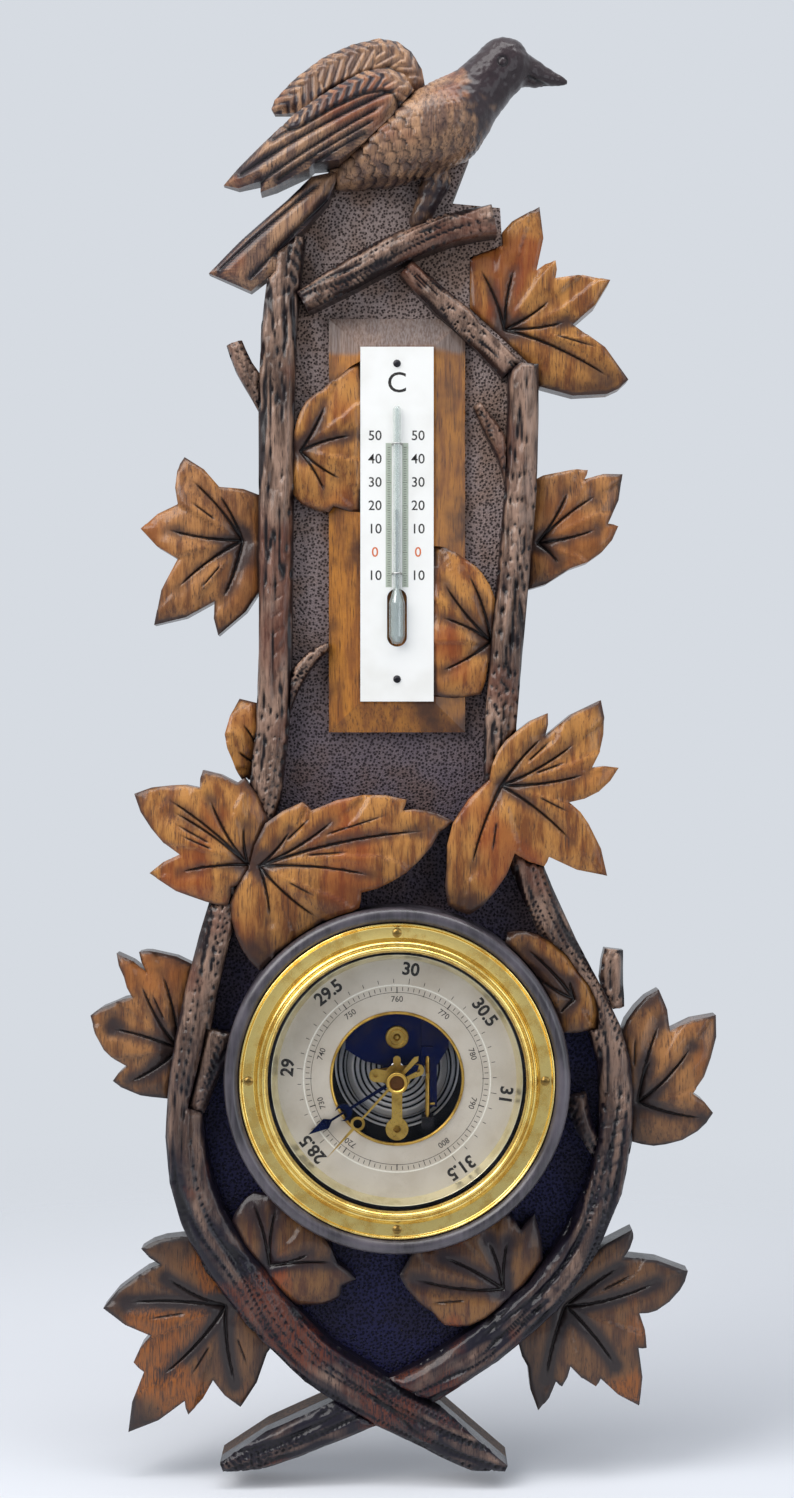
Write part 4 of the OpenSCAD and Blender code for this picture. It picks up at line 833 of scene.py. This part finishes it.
def bark_rule(spots, rim, lines, height, seed):
    best = np.full(len(spots), FAR_AWAY)
    along = np.zeros(len(spots))
    side = np.zeros(len(spots))
    width = np.full(len(spots), 12.0)
    for k, line in enumerate(lines):
        gap, share, lean = line_distance(spots, line)
        widths = np.interp(share, np.linspace(0, 1, len(line)), [p[2] for p in line])
        closer = gap / widths < best / width
        best = np.where(closer, gap, best)
        along = np.where(closer, share * line_length(line) + 400 * k, along)
        side = np.where(closer, lean, side)
        width = np.where(closer, widths, width)
    across = np.clip(side / (width / 2), -ROUND, ROUND)
    bow = np.sqrt(np.clip(1 - (np.abs(across) / ROUND) ** 2.4, 0, 1))
    crown = height * (0.58 + 0.42 * bow)
    twist = swell(along * 0.016, seed, 0)
    coil = across + 0.7 * twist
    ropes = swell(along * 0.014, seed + 3, coil * 2.9)
    fine = swell(along * 0.045, seed + 9, coil * 8.0)
    chip = swell(along * 0.09, seed + 5, across * 1.4)
    groove = hump(ropes, 0.06)
    small = hump(fine, 0.1)
    beat = along + 5.0 * across + 22.0 * twist
    rung = np.clip(np.sin(beat * 0.85), 0, 1) ** 3 * hump(across - 0.1, 0.4)
    rung = rung * ease(twist, -0.15, 0.2)
    surface = crown - GROOVE_DEPTH * groove - 0.5 * small + ROPE_SWELL * ropes + 0.9 * chip
    surface -= RUNG_DEPTH * rung
    surface -= 1.6 * (1 - ease(rim, 0.0, 1.8))
    # Ropes lighter, partly rubbed and partly a painted highlight; grooves, rungs and the rim
    # darker as painted shade.
    rub_and_highlight = 0.44 + 0.75 * np.abs(ropes) + 0.35 * chip - 0.55 * groove
    rub_and_highlight += 0.3 * (1 - np.abs(across)) - 0.35 * (1 - ease(rim, 0.2, 1.4)) - 0.25 * rung
    flank = ease(np.abs(across), 0.8, 1.1)
    # The grooves and the flanks of the branch are painted dark as shade.
    cut = np.clip(0.85 * groove + 0.3 * small * (fine < 0) + 0.4 * flank, 0, 1)
    return np.minimum(surface, height * 1.06), rub_and_highlight, cut * 0.9


print("bark has a rule")

# %% [markdown]
# The two lower branches end in blunt points, where a knife took the wood off in flat cuts. A
# cut is given by the side it lies on, a place on it, and the direction in which wood falls away.
# It touches only what lies below TIP_TOP and more than TIP_START to the side.

# %% The branches, whittled at their lower ends
TIP_TOP = -137.0
TIP_START = 18.0
whittle_cuts = [
    (1, (46.0, -163.0), (0.65, 0.76)), (1, (0, -166.4), (0, -1)),
    (-1, (-71.8, -160.7), (-0.55, 0.84)), (-1, (0, -166.4), (0, -1)),
]


def cut_off(shape, faces, x, z, across, up, clear):
    around = {part for face in faces for part in (*face.verts, *face.edges)}
    around = sorted(around, key=lambda part: (isinstance(part, bmesh.types.BMEdge), part.index))
    return bmesh.ops.bisect_plane(
        shape, geom=around + faces, dist=1e-6, plane_co=(x * MM, 0, (z - DROP) * MM),
        plane_no=(across, 0, up), clear_outer=clear
    )


def whittle(shape):
    for side, (x, z), (across, up) in whittle_cuts:
        shape.verts.index_update()
        shape.edges.index_update()
        tip = []
        for face in shape.faces:
            middle = face.calc_center_median()
            if middle.z < (TIP_TOP - DROP) * MM and middle.x * side > TIP_START * MM:
                tip.append(face)
        if tip:
            cut_off(shape, tip, x, z, across, up, True)


def carve_branch(name, lines, height, seed, cell):
    def rule(spots, rim):
        return bark_rule(spots, rim, lines, height, seed)

    return carve(
        name, BOARD_FACE, cell, rule, BARK, side_rub_and_highlight=0.1, prepare=whittle
    )


branch_table = [
    ("left_branch_upper", [left_vine], 13, 1.3), ("left_branch_lower", [left_vine], 13, 1.3),
    ("right_branch_upper", [right_vine], 13, 6.1), ("right_branch_lower", [right_vine], 13, 6.1),
    ("perch_branch", [perch], 15.6, 11.7), ("top_right_branch", [top_right], 11.7, 15.2),
    ("twigs", stubs, 11.2, 19.4),
]
branch_cell = 0.95
for branch_name, paths, height, seed in branch_table:
    middles = [smooth_line(path) for path in paths]
    carve_branch(branch_name, middles, height, seed, branch_cell)
print("branches carved:", len(branch_table))

# %% [markdown]
# The foot of the board lies between the two points, so it is cut with them. The board is first
# divided along the edges of the two end regions, since a cut works on whole faces.

# %% The board, whittled with its branches


def whittled_board():
    shape = copy_of("backboard")
    for x, z, across, up in [(0, TIP_TOP, 0, 1), (TIP_START, 0, 1, 0), (-TIP_START, 0, 1, 0)]:
        cut_off(shape, shape.faces[:], x, z, across, up, False)
    whittle(shape)
    open_edges = [edge for edge in shape.edges if edge.is_boundary]
    bmesh.ops.holes_fill(shape, edges=open_edges, sides=0)
    for face in shape.faces:
        face.smooth = False
    return piece_from(shape, "whittled_board", GROUND, ["backboard"])


board = whittled_board()
print("faces of the board:", len(board.data.polygons))

# %% [markdown]
# ## The bird
# The wings and the tail are flat boards with long feathers cut into them, so they are carved
# like the leaves: grooves lie between the feathers, each feather is rounded, and fine barbs
# slant back from it. The table gives the level of the back, the thickness, the middle and
# radius of the crowned face, and the grooves between the feathers. For the wings it also gives
# the width and the line of the band of short feathers along the front edge.

# %% Wings and tail
feather_table = {
    "bird_near_wing": (17, 22.5, (-20, 402, 110), [
        ((2, 416), (-66, 381)), ((0, 420), (-52, 394)), ((-3, 409), (-58, 377)),
        ((-6, 403), (-50, 378)), ((-11, 397), (-34, 384)), ((-2, 422), (-40, 404)),
    ], 5.5, [(-43, 403), (-29, 411), (-16, 417), (-6, 419), (2, 417), (6, 410), (7, 400)]),
    "bird_far_wing": (14, 12, (-15, 425, 120), [
        ((0, 425), (-50, 411)), ((0, 420), (-47, 405)), ((-4, 415), (-40, 403)),
    ], 9.0, [(-52, 407), (-35, 424), (-23, 430), (-9, 434), (2, 431), (10, 423), (11, 413)]),
    "bird_tail": (14, 13.5, (-45, 362, 130), [
        ((-30, 380), (-75, 342)), ((-36, 380), (-78, 345)), ((-26, 375), (-62, 338)),
    ], 0.0, []),
}


def feather_rule(spots, rim, thickness, crown, grooves, band, edge, seed):
    far = far_from(spots, crown[:2])
    height = thickness - crown[2] + np.sqrt(crown[2] ** 2 - far**2)
    nearest = np.full(len(spots), FAR_AWAY)
    slant = np.zeros(len(spots))
    for groove in grooves:
        gap, along, side = line_distance(spots, groove)
        gap = gap + 2.5 * (1 - ease(along, 0.0, 0.12))
        closer = gap < nearest
        nearest = np.where(closer, gap, nearest)
        run = along * math.dist(*groove)
        slant = np.where(closer, run + 1.3 * np.abs(side), slant)
    outer = np.zeros(len(spots))
    seam = np.zeros(len(spots))
    if edge:
        gap, along, _ = line_distance(spots, edge)
        outer = 1 - ease(gap, band - 0.6, band + 0.6)
        seam = hump(gap - band, 0.75)
        slant = np.where(outer > 0.5, along * line_length(edge) * 0.42 + 0.4 * gap, slant)
    # Grooves between the feathers and the seam are painted dark as shade.
    cut = np.clip(1 - nearest / 0.75, 0, 1) * (1 - outer)
    barbs = np.sin(slant * 3.2) * (0.6 + 1.9 * outer)
    height += (1.0 * ease(nearest, 0.0, 3.2) - 1.3 * cut) * (1 - outer) + 0.15 * barbs
    height += 1.1 * outer - 1.2 * seam + 0.4 * rough(spots, 0.12, seed)
    height -= 2.6 * (1 - ease(rim, 0.0, 3.5))
    # Feathers lighter where they stand high, partly rubbed and partly a painted highlight; painted
    # shade at the rim.
    rub_and_highlight = 0.3 + 0.4 * ease(nearest, 0.4, 3.0) + 0.15 * barbs - 0.3 * (1 - ease(rim, 0.2, 2.0))
    # A painted highlight: a round patch on the wing is lighter.
    rub_and_highlight += 0.25 * hump(far_from(spots, (-4, 402)), 16)
    return height, rub_and_highlight, np.clip(cut * 1.3 + seam, 0, 1)


def carve_feathers(name, cell, seed):
    level, thickness, crown, grooves, band, edge = feather_table[name]

    def rule(spots, rim):
        return feather_rule(spots, rim, thickness, crown, grooves, band, edge, seed)

    return carve(name, level, cell, rule, BIRD)


feather_cell = 0.6
for feather_name in feather_table:
    carve_feathers(feather_name, feather_cell, 3.0)
print("wings and tail carved")

# %% [markdown]
# The body is round and has no flat front, so no grid can be laid over it from one side. A copy
# of the plain solid is merged, turned into an even skin with the Remesh modifier, smoothed, and
# then each vertex in front of the board is moved along its normal. Scales of feather overlap
# towards the tail, and get smaller and finer towards the head. The head has an eye with a ring
# round it, and the beak only a slit.

# %% The body of the bird
SCALE_PITCH = 5.2
SMALL_PITCH = 2.6
BREAST = np.array([-22.0, 384.0])
HEAD = np.array([45.0, 429.0])
EYE = (44.5, 427.5)


def even_skin(name, voxel, rounds):
    skin = object_from(copy_of(name), name + "_skin")
    remesh = skin.modifiers.new("remesh", "REMESH")
    remesh.mode = "VOXEL"
    remesh.voxel_size = voxel * MM
    graph = bpy.context.evaluated_depsgraph_get()
    made = bpy.data.meshes.new_from_object(skin.evaluated_get(graph))
    bpy.data.objects.remove(skin)
    shape = bmesh.new()
    shape.from_mesh(made)
    whole = shape.verts[:]
    blunt = [vert for vert in whole if vert.co.x < 50 * MM and vert.co.y < -15.5 * MM]
    for k in range(rounds):
        bmesh.ops.smooth_vert(
            shape, verts=blunt if k > 3 else whole, factor=0.5, use_axis_x=True,
            use_axis_y=True, use_axis_z=True
        )
    shape.normal_update()
    return shape


def scale_height(along, across, pitch):
    row = np.floor(along / pitch)
    column = across / pitch + 0.5 * (row % 2)
    middle = column - np.floor(column) - 0.5
    step = along / pitch + 1.5 * middle**2
    share = step - np.floor(step)
    return 1 - share, np.clip(1 - np.minimum(share, 1 - share) / 0.12, 0, 1)


def carve_bird_body(voxel):
    shape = even_skin("bird_body", voxel, 40)
    spots = spots_of(shape)
    way = (HEAD - BREAST) / float(np.hypot(*(HEAD - BREAST)))
    along = (spots - BREAST) @ way
    across = (spots - BREAST) @ np.array([-way[1], way[0]])
    depth = np.array([-vert.co.y / MM for vert in shape.verts])
    swung = across + 0.35 * (depth - 24)
    ramp, gap = scale_height(along + 0.02 * swung**2, swung, SCALE_PITCH)
    small_ramp, small_gap = scale_height(along, swung, SMALL_PITCH)
    feathered = 1 - ease(along, 48, 62)
    feathered = feathered * ease(spots[:, 1], 372, 381)
    near_head = ease(along, 22, 46)
    lift = feathered * (1 - near_head) * (1.1 * ramp - 0.4 * gap)
    lift += feathered * near_head * (0.3 * small_ramp - 0.2 * small_gap)
    lift += 0.35 * rough(spots, 0.13, 4.4)
    lift += (1 - feathered) * (0.22 * rough(spots, 0.55, 2.2) + 0.3 * rough(spots, 0.28, 6.0))
    eye = far_from(spots, EYE)
    beak_gap = line_distance(spots, [(56, 423.5), (69, 419.5)])[0]
    eye_ring = hump(eye - 2.0, 0.5)
    slit = hump(beak_gap, 0.6)
    lift += 0.5 * hump(eye, 1.4) - 0.7 * eye_ring - 0.9 * slit
    # Scales lighter where they stand high, partly rubbed and partly a painted highlight; the head
    # darker.
    rub_and_highlight = 0.3 + 0.45 * ramp * feathered + 0.3 * (rough(spots, 0.07, 8.0))
    # A painted highlight: a round patch between breast and head is lighter.
    rub_and_highlight += 0.35 * hump(far_from(spots, (12, 402)), 13)
    rub_and_highlight -= 0.42 * ease(along, 58, 76)
    rub_and_highlight += (1 - feathered) * 0.35 * rough(spots, 0.3, 6.0) + 0.2 * eye_ring
    # Gaps between scales, the eye ring and the beak slit are painted dark as shade.
    cut = feathered * (0.8 * gap * (1 - near_head) + 0.5 * small_gap * near_head)
    cut = np.clip(cut + 0.9 * eye_ring + slit, 0, 1)
    paint(shape, rub_and_highlight, cut)
    for vert, up in zip(shape.verts, lift):
        if vert.co.y <= -(BOARD_FACE + 0.6) * MM:
            vert.co += vert.normal * up * MM
        vert.co.y = min(vert.co.y, -BOARD_FACE * MM)
    for face in shape.faces:
        face.smooth = True
    bmesh.ops.recalc_face_normals(shape, faces=shape.faces)
    return piece_from(shape, "carved_bird_body", BIRD, ["bird_body"])


bird_body = carve_bird_body(0.6)
print("bird body faces:", len(bird_body.data.polygons))

# %% [markdown]
# ## Turned pieces
# The wooden ring and the brass bezel are turned on a lathe, and the corrugated capsule is
# pressed in a round die. A lathe is what Blender's spin is: a profile of radius and level goes
# once round the middle of the dial, or round another middle that is given. Edges sharper than
# CORNER stay sharp, and where "soft" is given, a Bevel modifier takes that width off them.

# %% A lathe
CORNER = math.radians(35)


def turned(
    name, profile, material, nodes=(), body="case", middle=(0, 0), steps=160, soft=0
):
    shape = bmesh.new()
    ring = [shape.verts.new(place(middle[0] + r, middle[1], level)) for r, level in profile]
    for a, b in zip(ring, ring[1:] + ring[:1]):
        if a.co.x > middle[0] * MM + 1e-6 or b.co.x > middle[0] * MM + 1e-6:
            shape.edges.new((a, b))
    bmesh.ops.spin(
        shape, geom=shape.verts[:] + shape.edges[:], cent=place(*middle, 0), axis=(0, 1, 0),
        angle=math.tau, steps=steps, use_merge=True
    )
    bmesh.ops.remove_doubles(shape, verts=shape.verts, dist=1e-6)
    bmesh.ops.recalc_face_normals(shape, faces=shape.faces)
    for face in shape.faces:
        face.smooth = True
    for edge in shape.edges:
        edge.smooth = edge.calc_face_angle(0) < CORNER
    piece = piece_from(shape, name, material, nodes, body)
    if soft:
        bevel = piece.modifiers.new("soft corners", "BEVEL")
        bevel.width = soft * MM
        bevel.segments = 2
        bevel.limit_method = "ANGLE"
        bevel.angle_limit = CORNER
    return piece


ring_profile = [
    (54.3, 14), (73, 14), (73, 19.2), (72.6, 20.4), (71.9, 21.4), (71.7, 23), (71.8, 27.4),
    (72.2, 29.2), (72.6, 30.4), (72.6, 34.2), (72.2, 35.8), (71.4, 36.8), (70.2, 37.4),
    (69, 37.5), (68, 37.1), (67.1, 36.2), (66.5, 35.4), (66.5, 33.4), (58.5, 33.4),
    (58.5, 32.2), (54.3, 32.2),
]
turned("turned_wood_ring", ring_profile, RING, ["wood_ring"], soft=0.3)
print("wooden ring turned")

# %% The brass bezel
bezel_profile = [
    (57.1, 33.4), (66.2, 33.4), (66.2, 35.5), (66.0, 35.9), (65.6, 36.1), (65.2, 35.9),
    (64.9, 35.4), (64.6, 35.1), (64.2, 35.0), (60.2, 35.1), (59.7, 34.9), (59.4, 34.6),
    (59.1, 34.9), (58.9, 35.8), (58.6, 36.7), (58.1, 37.3), (57.6, 37.5), (57.2, 37.3),
    (57.0, 37.2), (56.8, 37.6), (56.5, 38.4), (56.0, 38.9), (55.5, 39.0), (55.0, 38.7),
    (54.6, 38.1), (54.3, 37.3), (54.0, 36.5), (57.1, 36.5),
]
turned("turned_bezel", bezel_profile, BEZEL_BRASS, ["bezel"], steps=192, soft=0.1)
rim_profile = [(27.3, 25.9), (28.3, 25.9), (28.3, 27.6), (27.8, 28.1), (27.3, 27.9), (27.1, 27.5)]
turned("turned_dial_rim", rim_profile, BRASS, ["dial_rim"], steps=128, soft=0.08)
print("bezel and dial rim turned")

# %% [markdown]
# Between the dial and the glass stands a pale brass ring. It leans outward, so its inner side
# faces the light all round, and shows as the bright band at the dial's edge.

# %% The sloped ring between dial and glass
slope_profile = [(50.3, 27.25), (52.8, 27.25), (52.8, 33.3), (52.5, 33.3)]
turned(
    "sloped_spacer", slope_profile, PALE_BRASS, ["glass_spacer"], steps=128, soft=0.08
)
print("spacer turned")

# %% [markdown]
# The capsule is a flat box of thin sheet with rings pressed into its lid. They are seen through
# the middle of the dial, and make it plain that this is an aneroid and not a clock. The lid is
# narrower than that opening, so the base carries the rings on outward. A cosine gives the rings
# their waves, and the valleys are marked as cuts, which the finish paints nearly black as shade.

# %% The corrugated capsule
CAPSULE = (0, 3)
LID_TOP = 12.0
FOOT_TOP = 9.2


def pressed_rings(level, count, low=3.0):
    return [(low + k * 0.29, level + 0.55 * math.cos(k * math.tau / 8)) for k in range(count)]


def shade_valleys(piece, level, low, high):
    attribute = piece.data.attributes.new("cut", "FLOAT", "POINT")
    for vert, value in zip(piece.data.vertices, attribute.data):
        r = math.hypot(vert.co.x, vert.co.z - (CAPSULE[1] - DROP) * MM) / MM
        depth = (level + vert.co.y / MM) / 0.3
        value.value = min(max(depth, 0.0), 1.0) if low < r < high else 0.0


lid_profile = [(0, 11.2), *pressed_rings(11.2, 57), (20.8, 11.2), (20.8, 8.6), (21.4, 8.6)]
lid_profile += [(21.4, 11.7), (20.8, LID_TOP), *pressed_rings(LID_TOP, 57)[::-1]]
lid_profile += [
    (2.5, 13.0), (1.5, 13.5), (1.5, 17.2), (2.8, 17.2), (2.8, 18.0), (2.5, 18.2), (0, 18.2)
]
lid = turned(
    "pressed_capsule_lid", lid_profile, TINNED, ["capsule_lid"], "capsule", CAPSULE
)
shade_valleys(lid, LID_TOP, 2.8, 20.5)
foot_profile = [(0, 6.5), (26.3, 6.5), (26.7, 7.0), (26.7, 9.0)]
foot_profile += pressed_rings(FOOT_TOP, 17, 21.9)[::-1]
foot_profile += [(21.8, 7.5), (20.3, 7.5), (20.3, 9.4), (0, 9.4)]
foot = turned(
    "pressed_capsule_base", foot_profile, TINNED, ["capsule_base"], middle=CAPSULE
)
shade_valleys(foot, FOOT_TOP, 21.7, 26.65)
print("capsule lid:", len(lid_profile), "points in its profile")

# %% [markdown]
# The chain runs from the arbor of the hand to the arm of the rocking shaft. It is kept as a
# merged copy of the plain solid.

# %% The chain between the arbor and the rocking shaft
chain = object_from(copy_of("chain", 1e-6), "linked_chain", STEEL)
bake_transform(chain)
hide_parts("chain")
print("chain:", len(chain.data.vertices), "points")

# %% [markdown]
# The knob in the middle of the glass turns the brass hand that marks the last reading. It is
# turned like the bezel, and a thin disc in its hollow top stands for lacquer gone brown.

# %% The knob in the middle of the glass
knob_profile = [
    (0, 28.2), (1.5, 28.2), (1.5, 36.7), (3.2, 36.7), (2.8, 37.9), (4.4, 38.5), (4.6, 38.8),
    (4.6, 41.0), (4.3, 41.6), (3.6, 41.7), (3.1, 41.3), (2.9, 39.6), (0, 39.4),
]
turned(
    "turned_set_knob", knob_profile, BRASS, ["set_knob"], "set_hand", steps=64,
    soft=0.08
)
recess = [(0, 39.45), (2.84, 39.65), (2.84, 39.75), (0, 39.55)]
turned("knob_lacquer", recess, LACQUER, body="set_hand", steps=64)
print("knob turned")

# %% [markdown]
# ## Print on the dial and the thermometer
# Letters are text objects turned into meshes, and the many short lines are small boxes. Both
# stand a few hundredths of a millimetre proud, which is enough to cover what lies under them.
# The dial has two scales of air pressure: inches of mercury in the large numbers, and
# millimetres of mercury in the fine ones.

# %% Printing tools


def lettering(shape, words, x, z, level, size, turn=0.0, weight=0.0):
    curve = bpy.data.curves.new("words", "FONT")
    curve.body = words
    curve.align_x = "CENTER"
    curve.align_y = "CENTER"
    curve.size = size / 0.7
    curve.offset = weight
    curve.extrude = 0.03
    curve.resolution_u = 4
    writing = linked("words", curve)
    graph = bpy.context.evaluated_depsgraph_get()
    mesh = bpy.data.meshes.new_from_object(writing.evaluated_get(graph))
    bpy.data.objects.remove(writing)
    c, s = math.cos(math.radians(turn)), math.sin(math.radians(turn))
    for vert in mesh.vertices:
        a, b, rise = vert.co
        vert.co = place(x + a * c - b * s, z + a * s + b * c, level + rise)
    shape.from_mesh(mesh)
    bpy.data.meshes.remove(mesh)


def short_line(shape, x, z, level, length, width, turn):
    spot = Matrix.Translation(place(x, z, level))
    spot = spot @ Matrix.Rotation(-math.radians(turn), 4, "Y")
    spot = spot @ Matrix.Diagonal((length * MM, 0.05 * MM, width * MM, 1))
    bmesh.ops.create_cube(shape, size=1, matrix=spot)


def on_circle(r, degrees):
    return r * math.cos(math.radians(degrees)), r * math.sin(math.radians(degrees))


print("printing tools ready")

# %% The dial's scales
DIAL_TOP = 27.2
DEGREES_PER_MM = 3.6
TOP_PRESSURE = 760


def pressure_angle(millimetres):
    return 90 - (millimetres - TOP_PRESSURE) * DEGREES_PER_MM


fine_print = bmesh.new()
for value in range(710, 810):
    turn = pressure_angle(value)
    length = 2.6 if value % 5 == 0 else 1.6
    x, z = on_circle(38.6 - length / 2, turn)
    short_line(fine_print, x, z, DIAL_TOP, length, 0.3 if value % 10 else 0.45, turn)
for value in range(720, 810, 10):
    turn = pressure_angle(value)
    x, z = on_circle(33.4, turn)
    lettering(fine_print, str(value), x, z, DIAL_TOP, 2.4, turn - 90, 0.03)
piece_from(fine_print, "dial_fine_print", GREY_INK)

bold_print = bmesh.new()
for inches in (28.5, 29, 29.5, 30, 30.5, 31, 31.5):
    turn = pressure_angle(inches * 25.4)
    x, z = on_circle(46.2, turn)
    lettering(bold_print, f"{inches:g}", x, z, DIAL_TOP, 5.2, turn - 90, 0.22)
for tenth in range(285, 316):
    turn = pressure_angle(tenth * 2.54)
    x, z = on_circle(41.2, turn)
    short_line(bold_print, x, z, DIAL_TOP, 1.6 if tenth % 5 else 2.4, 0.26, turn)
piece_from(bold_print, "dial_bold_print", BLACK_INK)

for line_name, inner, outer, line_ink in (
    ("dial_thin_line", 36.2, 36.4, GREY_INK), ("dial_white_line", 39.1, 39.7, WHITE_INK)
):
    low, high = DIAL_TOP, DIAL_TOP + 0.05
    line_profile = [(inner, low), (outer, low), (outer, high), (inner, high)]
    turned(line_name, line_profile, line_ink)
print("dial printed")

# %% [markdown]
# The thermometer's scale is fired on its glass plate: numbers on both sides of the tube, red
# for zero, and between them two narrow tinted bands that carry the lines.

# %% The thermometer's scale
PLATE_TOP = 24.0
ZERO_LINE = 222.0
DEGREE = 0.986
black_print = bmesh.new()
red_print = bmesh.new()
scale_band = bmesh.new()
lettering(black_print, "C", 0, 293.5, PLATE_TOP, 8.6, weight=0.02)
for x in (-9.3, 8.9):
    for degrees in (50, 40, 30, 20, 10, -10):
        row = ZERO_LINE + degrees * DEGREE
        lettering(black_print, str(abs(degrees)), x, row, PLATE_TOP, 4.1, weight=0.03)
    lettering(red_print, "0", x, ZERO_LINE, PLATE_TOP, 4.1, weight=0.05)
for degrees in range(-14, 46):
    for x in (-3.4, 3.4):
        wide = 2.0 if degrees % 10 == 0 else 1.2
        row = ZERO_LINE + degrees * DEGREE
        short_line(black_print, x, row, PLATE_TOP + 0.03, wide, 0.16, 0)
for x in (-3.5, 3.5):
    short_line(scale_band, x, 237.8, PLATE_TOP, 2.6, 61, 0)
piece_from(black_print, "thermometer_black_print", BLACK_INK)
piece_from(red_print, "thermometer_red_print", RED_INK)
piece_from(scale_band, "thermometer_scale_band", SCALE_INK)
print("thermometer printed")

# %% [markdown]
# ## Floor, light and camera
# The barometer is photographed against a pale wall and floor. The camera stands one metre in
# front of the wall, level, and looks straight at it, which is what keeps the long branches
# upright in the picture. Its lens is a little wide, so the sides of the case just show.

# %% Floor
floor_level = -0.512
pale = Finish("pale floor", Roughness=0.9, Specular_IOR_Level=0.1, Emission_Strength=0.16)
pale.give("Base Color", "d9dce2")
pale.give("Emission Color", "dfe2e8")
from_foot = pale.vector("DISTANCE", pale.spot, (0.0, 0.0, floor_level / MM), out="Value")
pale.give("Alpha", from_foot.rise(900.0, 160.0))
floor_shape = bmesh.new()
bmesh.ops.create_circle(floor_shape, cap_ends=True, segments=96, radius=1.1)
bmesh.ops.translate(floor_shape, verts=floor_shape.verts, vec=(0, 0, floor_level))
floor = object_from(floor_shape, "floor", pale.material)
print("floor at", floor_level)

# %% [markdown]
# The world is two things at once. It lights the barometer softly, and the camera sees it as a
# plain pale wall. A third colour shows in mirroring faces that look down the room, so that
# brass and varnish keep some contrast. Each row of the table below joins two nodes.

# %% The world
world_nodes = {
    "seen": "Background", "dim": "Background", "rays": "LightPath", "way": "TexCoord",
    "parts": "SeparateXYZ", "room": "MapRange", "only": "Math", "mirrored": "MixShader",
    "direct": "Math", "either": "Math", "mix": "MixShader",
}
world_links = [
    ("way", "Generated", "parts", 0), ("parts", "Y", "room", 0), ("room", 0, "only", 0),
    ("rays", "Is Glossy Ray", "only", 1), ("only", 0, "mirrored", 0), ("seen", 0, "mirrored", 1),
    ("dim", 0, "mirrored", 2), ("rays", "Is Camera Ray", "direct", 0),
    ("rays", "Is Transmission Ray", "direct", 1), ("direct", 0, "either", 0),
    ("rays", "Is Glossy Ray", "either", 1), ("either", 0, "mix", 0), ("back", 0, "mix", 1),
    ("mirrored", 0, "mix", 2), ("mix", 0, "out", "Surface"),
]
world_lights = [("back", "cfd6e0", 0.42), ("seen", "d6dbe2", 1.0), ("dim", "a4abba", 1.0)]


def pale_world():
    world = bpy.data.worlds.new("studio")
    world.use_nodes = True
    tree = world.node_tree
    nodes = {"back": tree.nodes["Background"], "out": tree.nodes["World Output"]}
    for name, kind in world_nodes.items():
        nodes[name] = tree.nodes.new("ShaderNode" + kind)
    for name, code, strength in world_lights:
        nodes[name].inputs["Color"].default_value = tone(code)
        nodes[name].inputs["Strength"].default_value = strength
    for socket, value in zip(nodes["room"].inputs[1:3], (-0.1, -0.7)):
        socket.default_value = value
    nodes["only"].operation = "MULTIPLY"
    nodes["direct"].operation = "MAXIMUM"
    nodes["either"].operation = "MAXIMUM"
    for start, out, end, into in world_links:
        tree.links.new(nodes[start].outputs[out], nodes[end].inputs[into])
    return world


bpy.context.scene.world = pale_world()
bpy.context.scene.view_settings.view_transform = "Standard"
print("world ready")

# %% [markdown]
# Carving is read by its shadows. A wide lamp from the upper left stands for a window, a weak
# one from the right keeps the shaded sides open, and one from above draws the upper edges.

# %% Soft lamps
AIM = Vector((0, -0.02, -0.2))
lamps = [
    ("window", (-1.1, -0.9, 0.8), (1.2, 1.2), 24, (1.0, 0.98, 0.96)),
    ("fill", (1.2, -1.2, 0.0), (0.8, 1.4), 6, (0.92, 0.96, 1.0)),
    ("top", (0.1, -0.4, 1.2), (1.6, 0.6), 14, (1.0, 1.0, 1.0)),
]
for lamp_name, spot, size, power, colour in lamps:
    light = bpy.data.lights.new(lamp_name, "AREA")
    light.shape = "RECTANGLE"
    light.size, light.size_y = size
    light.energy = power
    light.color = colour
    lamp = linked(lamp_name, light)
    lamp.location = spot
    lamp.rotation_euler = (AIM - Vector(spot)).to_track_quat("-Z", "Y").to_euler()
print("lamps:", len(lamps))

# %% Camera
PHOTO_HEIGHT = 1498
FOCAL_PIXELS = 2308
SENSOR = 24.0
camera_data = bpy.data.cameras.new("camera")
camera_data.sensor_fit = "VERTICAL"
camera_data.sensor_height = SENSOR
camera_data.lens = FOCAL_PIXELS / PHOTO_HEIGHT * SENSOR
camera = linked("camera", camera_data)
camera.location = (0.0, -1.0, -0.1991)
camera.rotation_euler = (math.radians(90), 0, 0)
bpy.context.scene.camera = camera
print("camera placed")
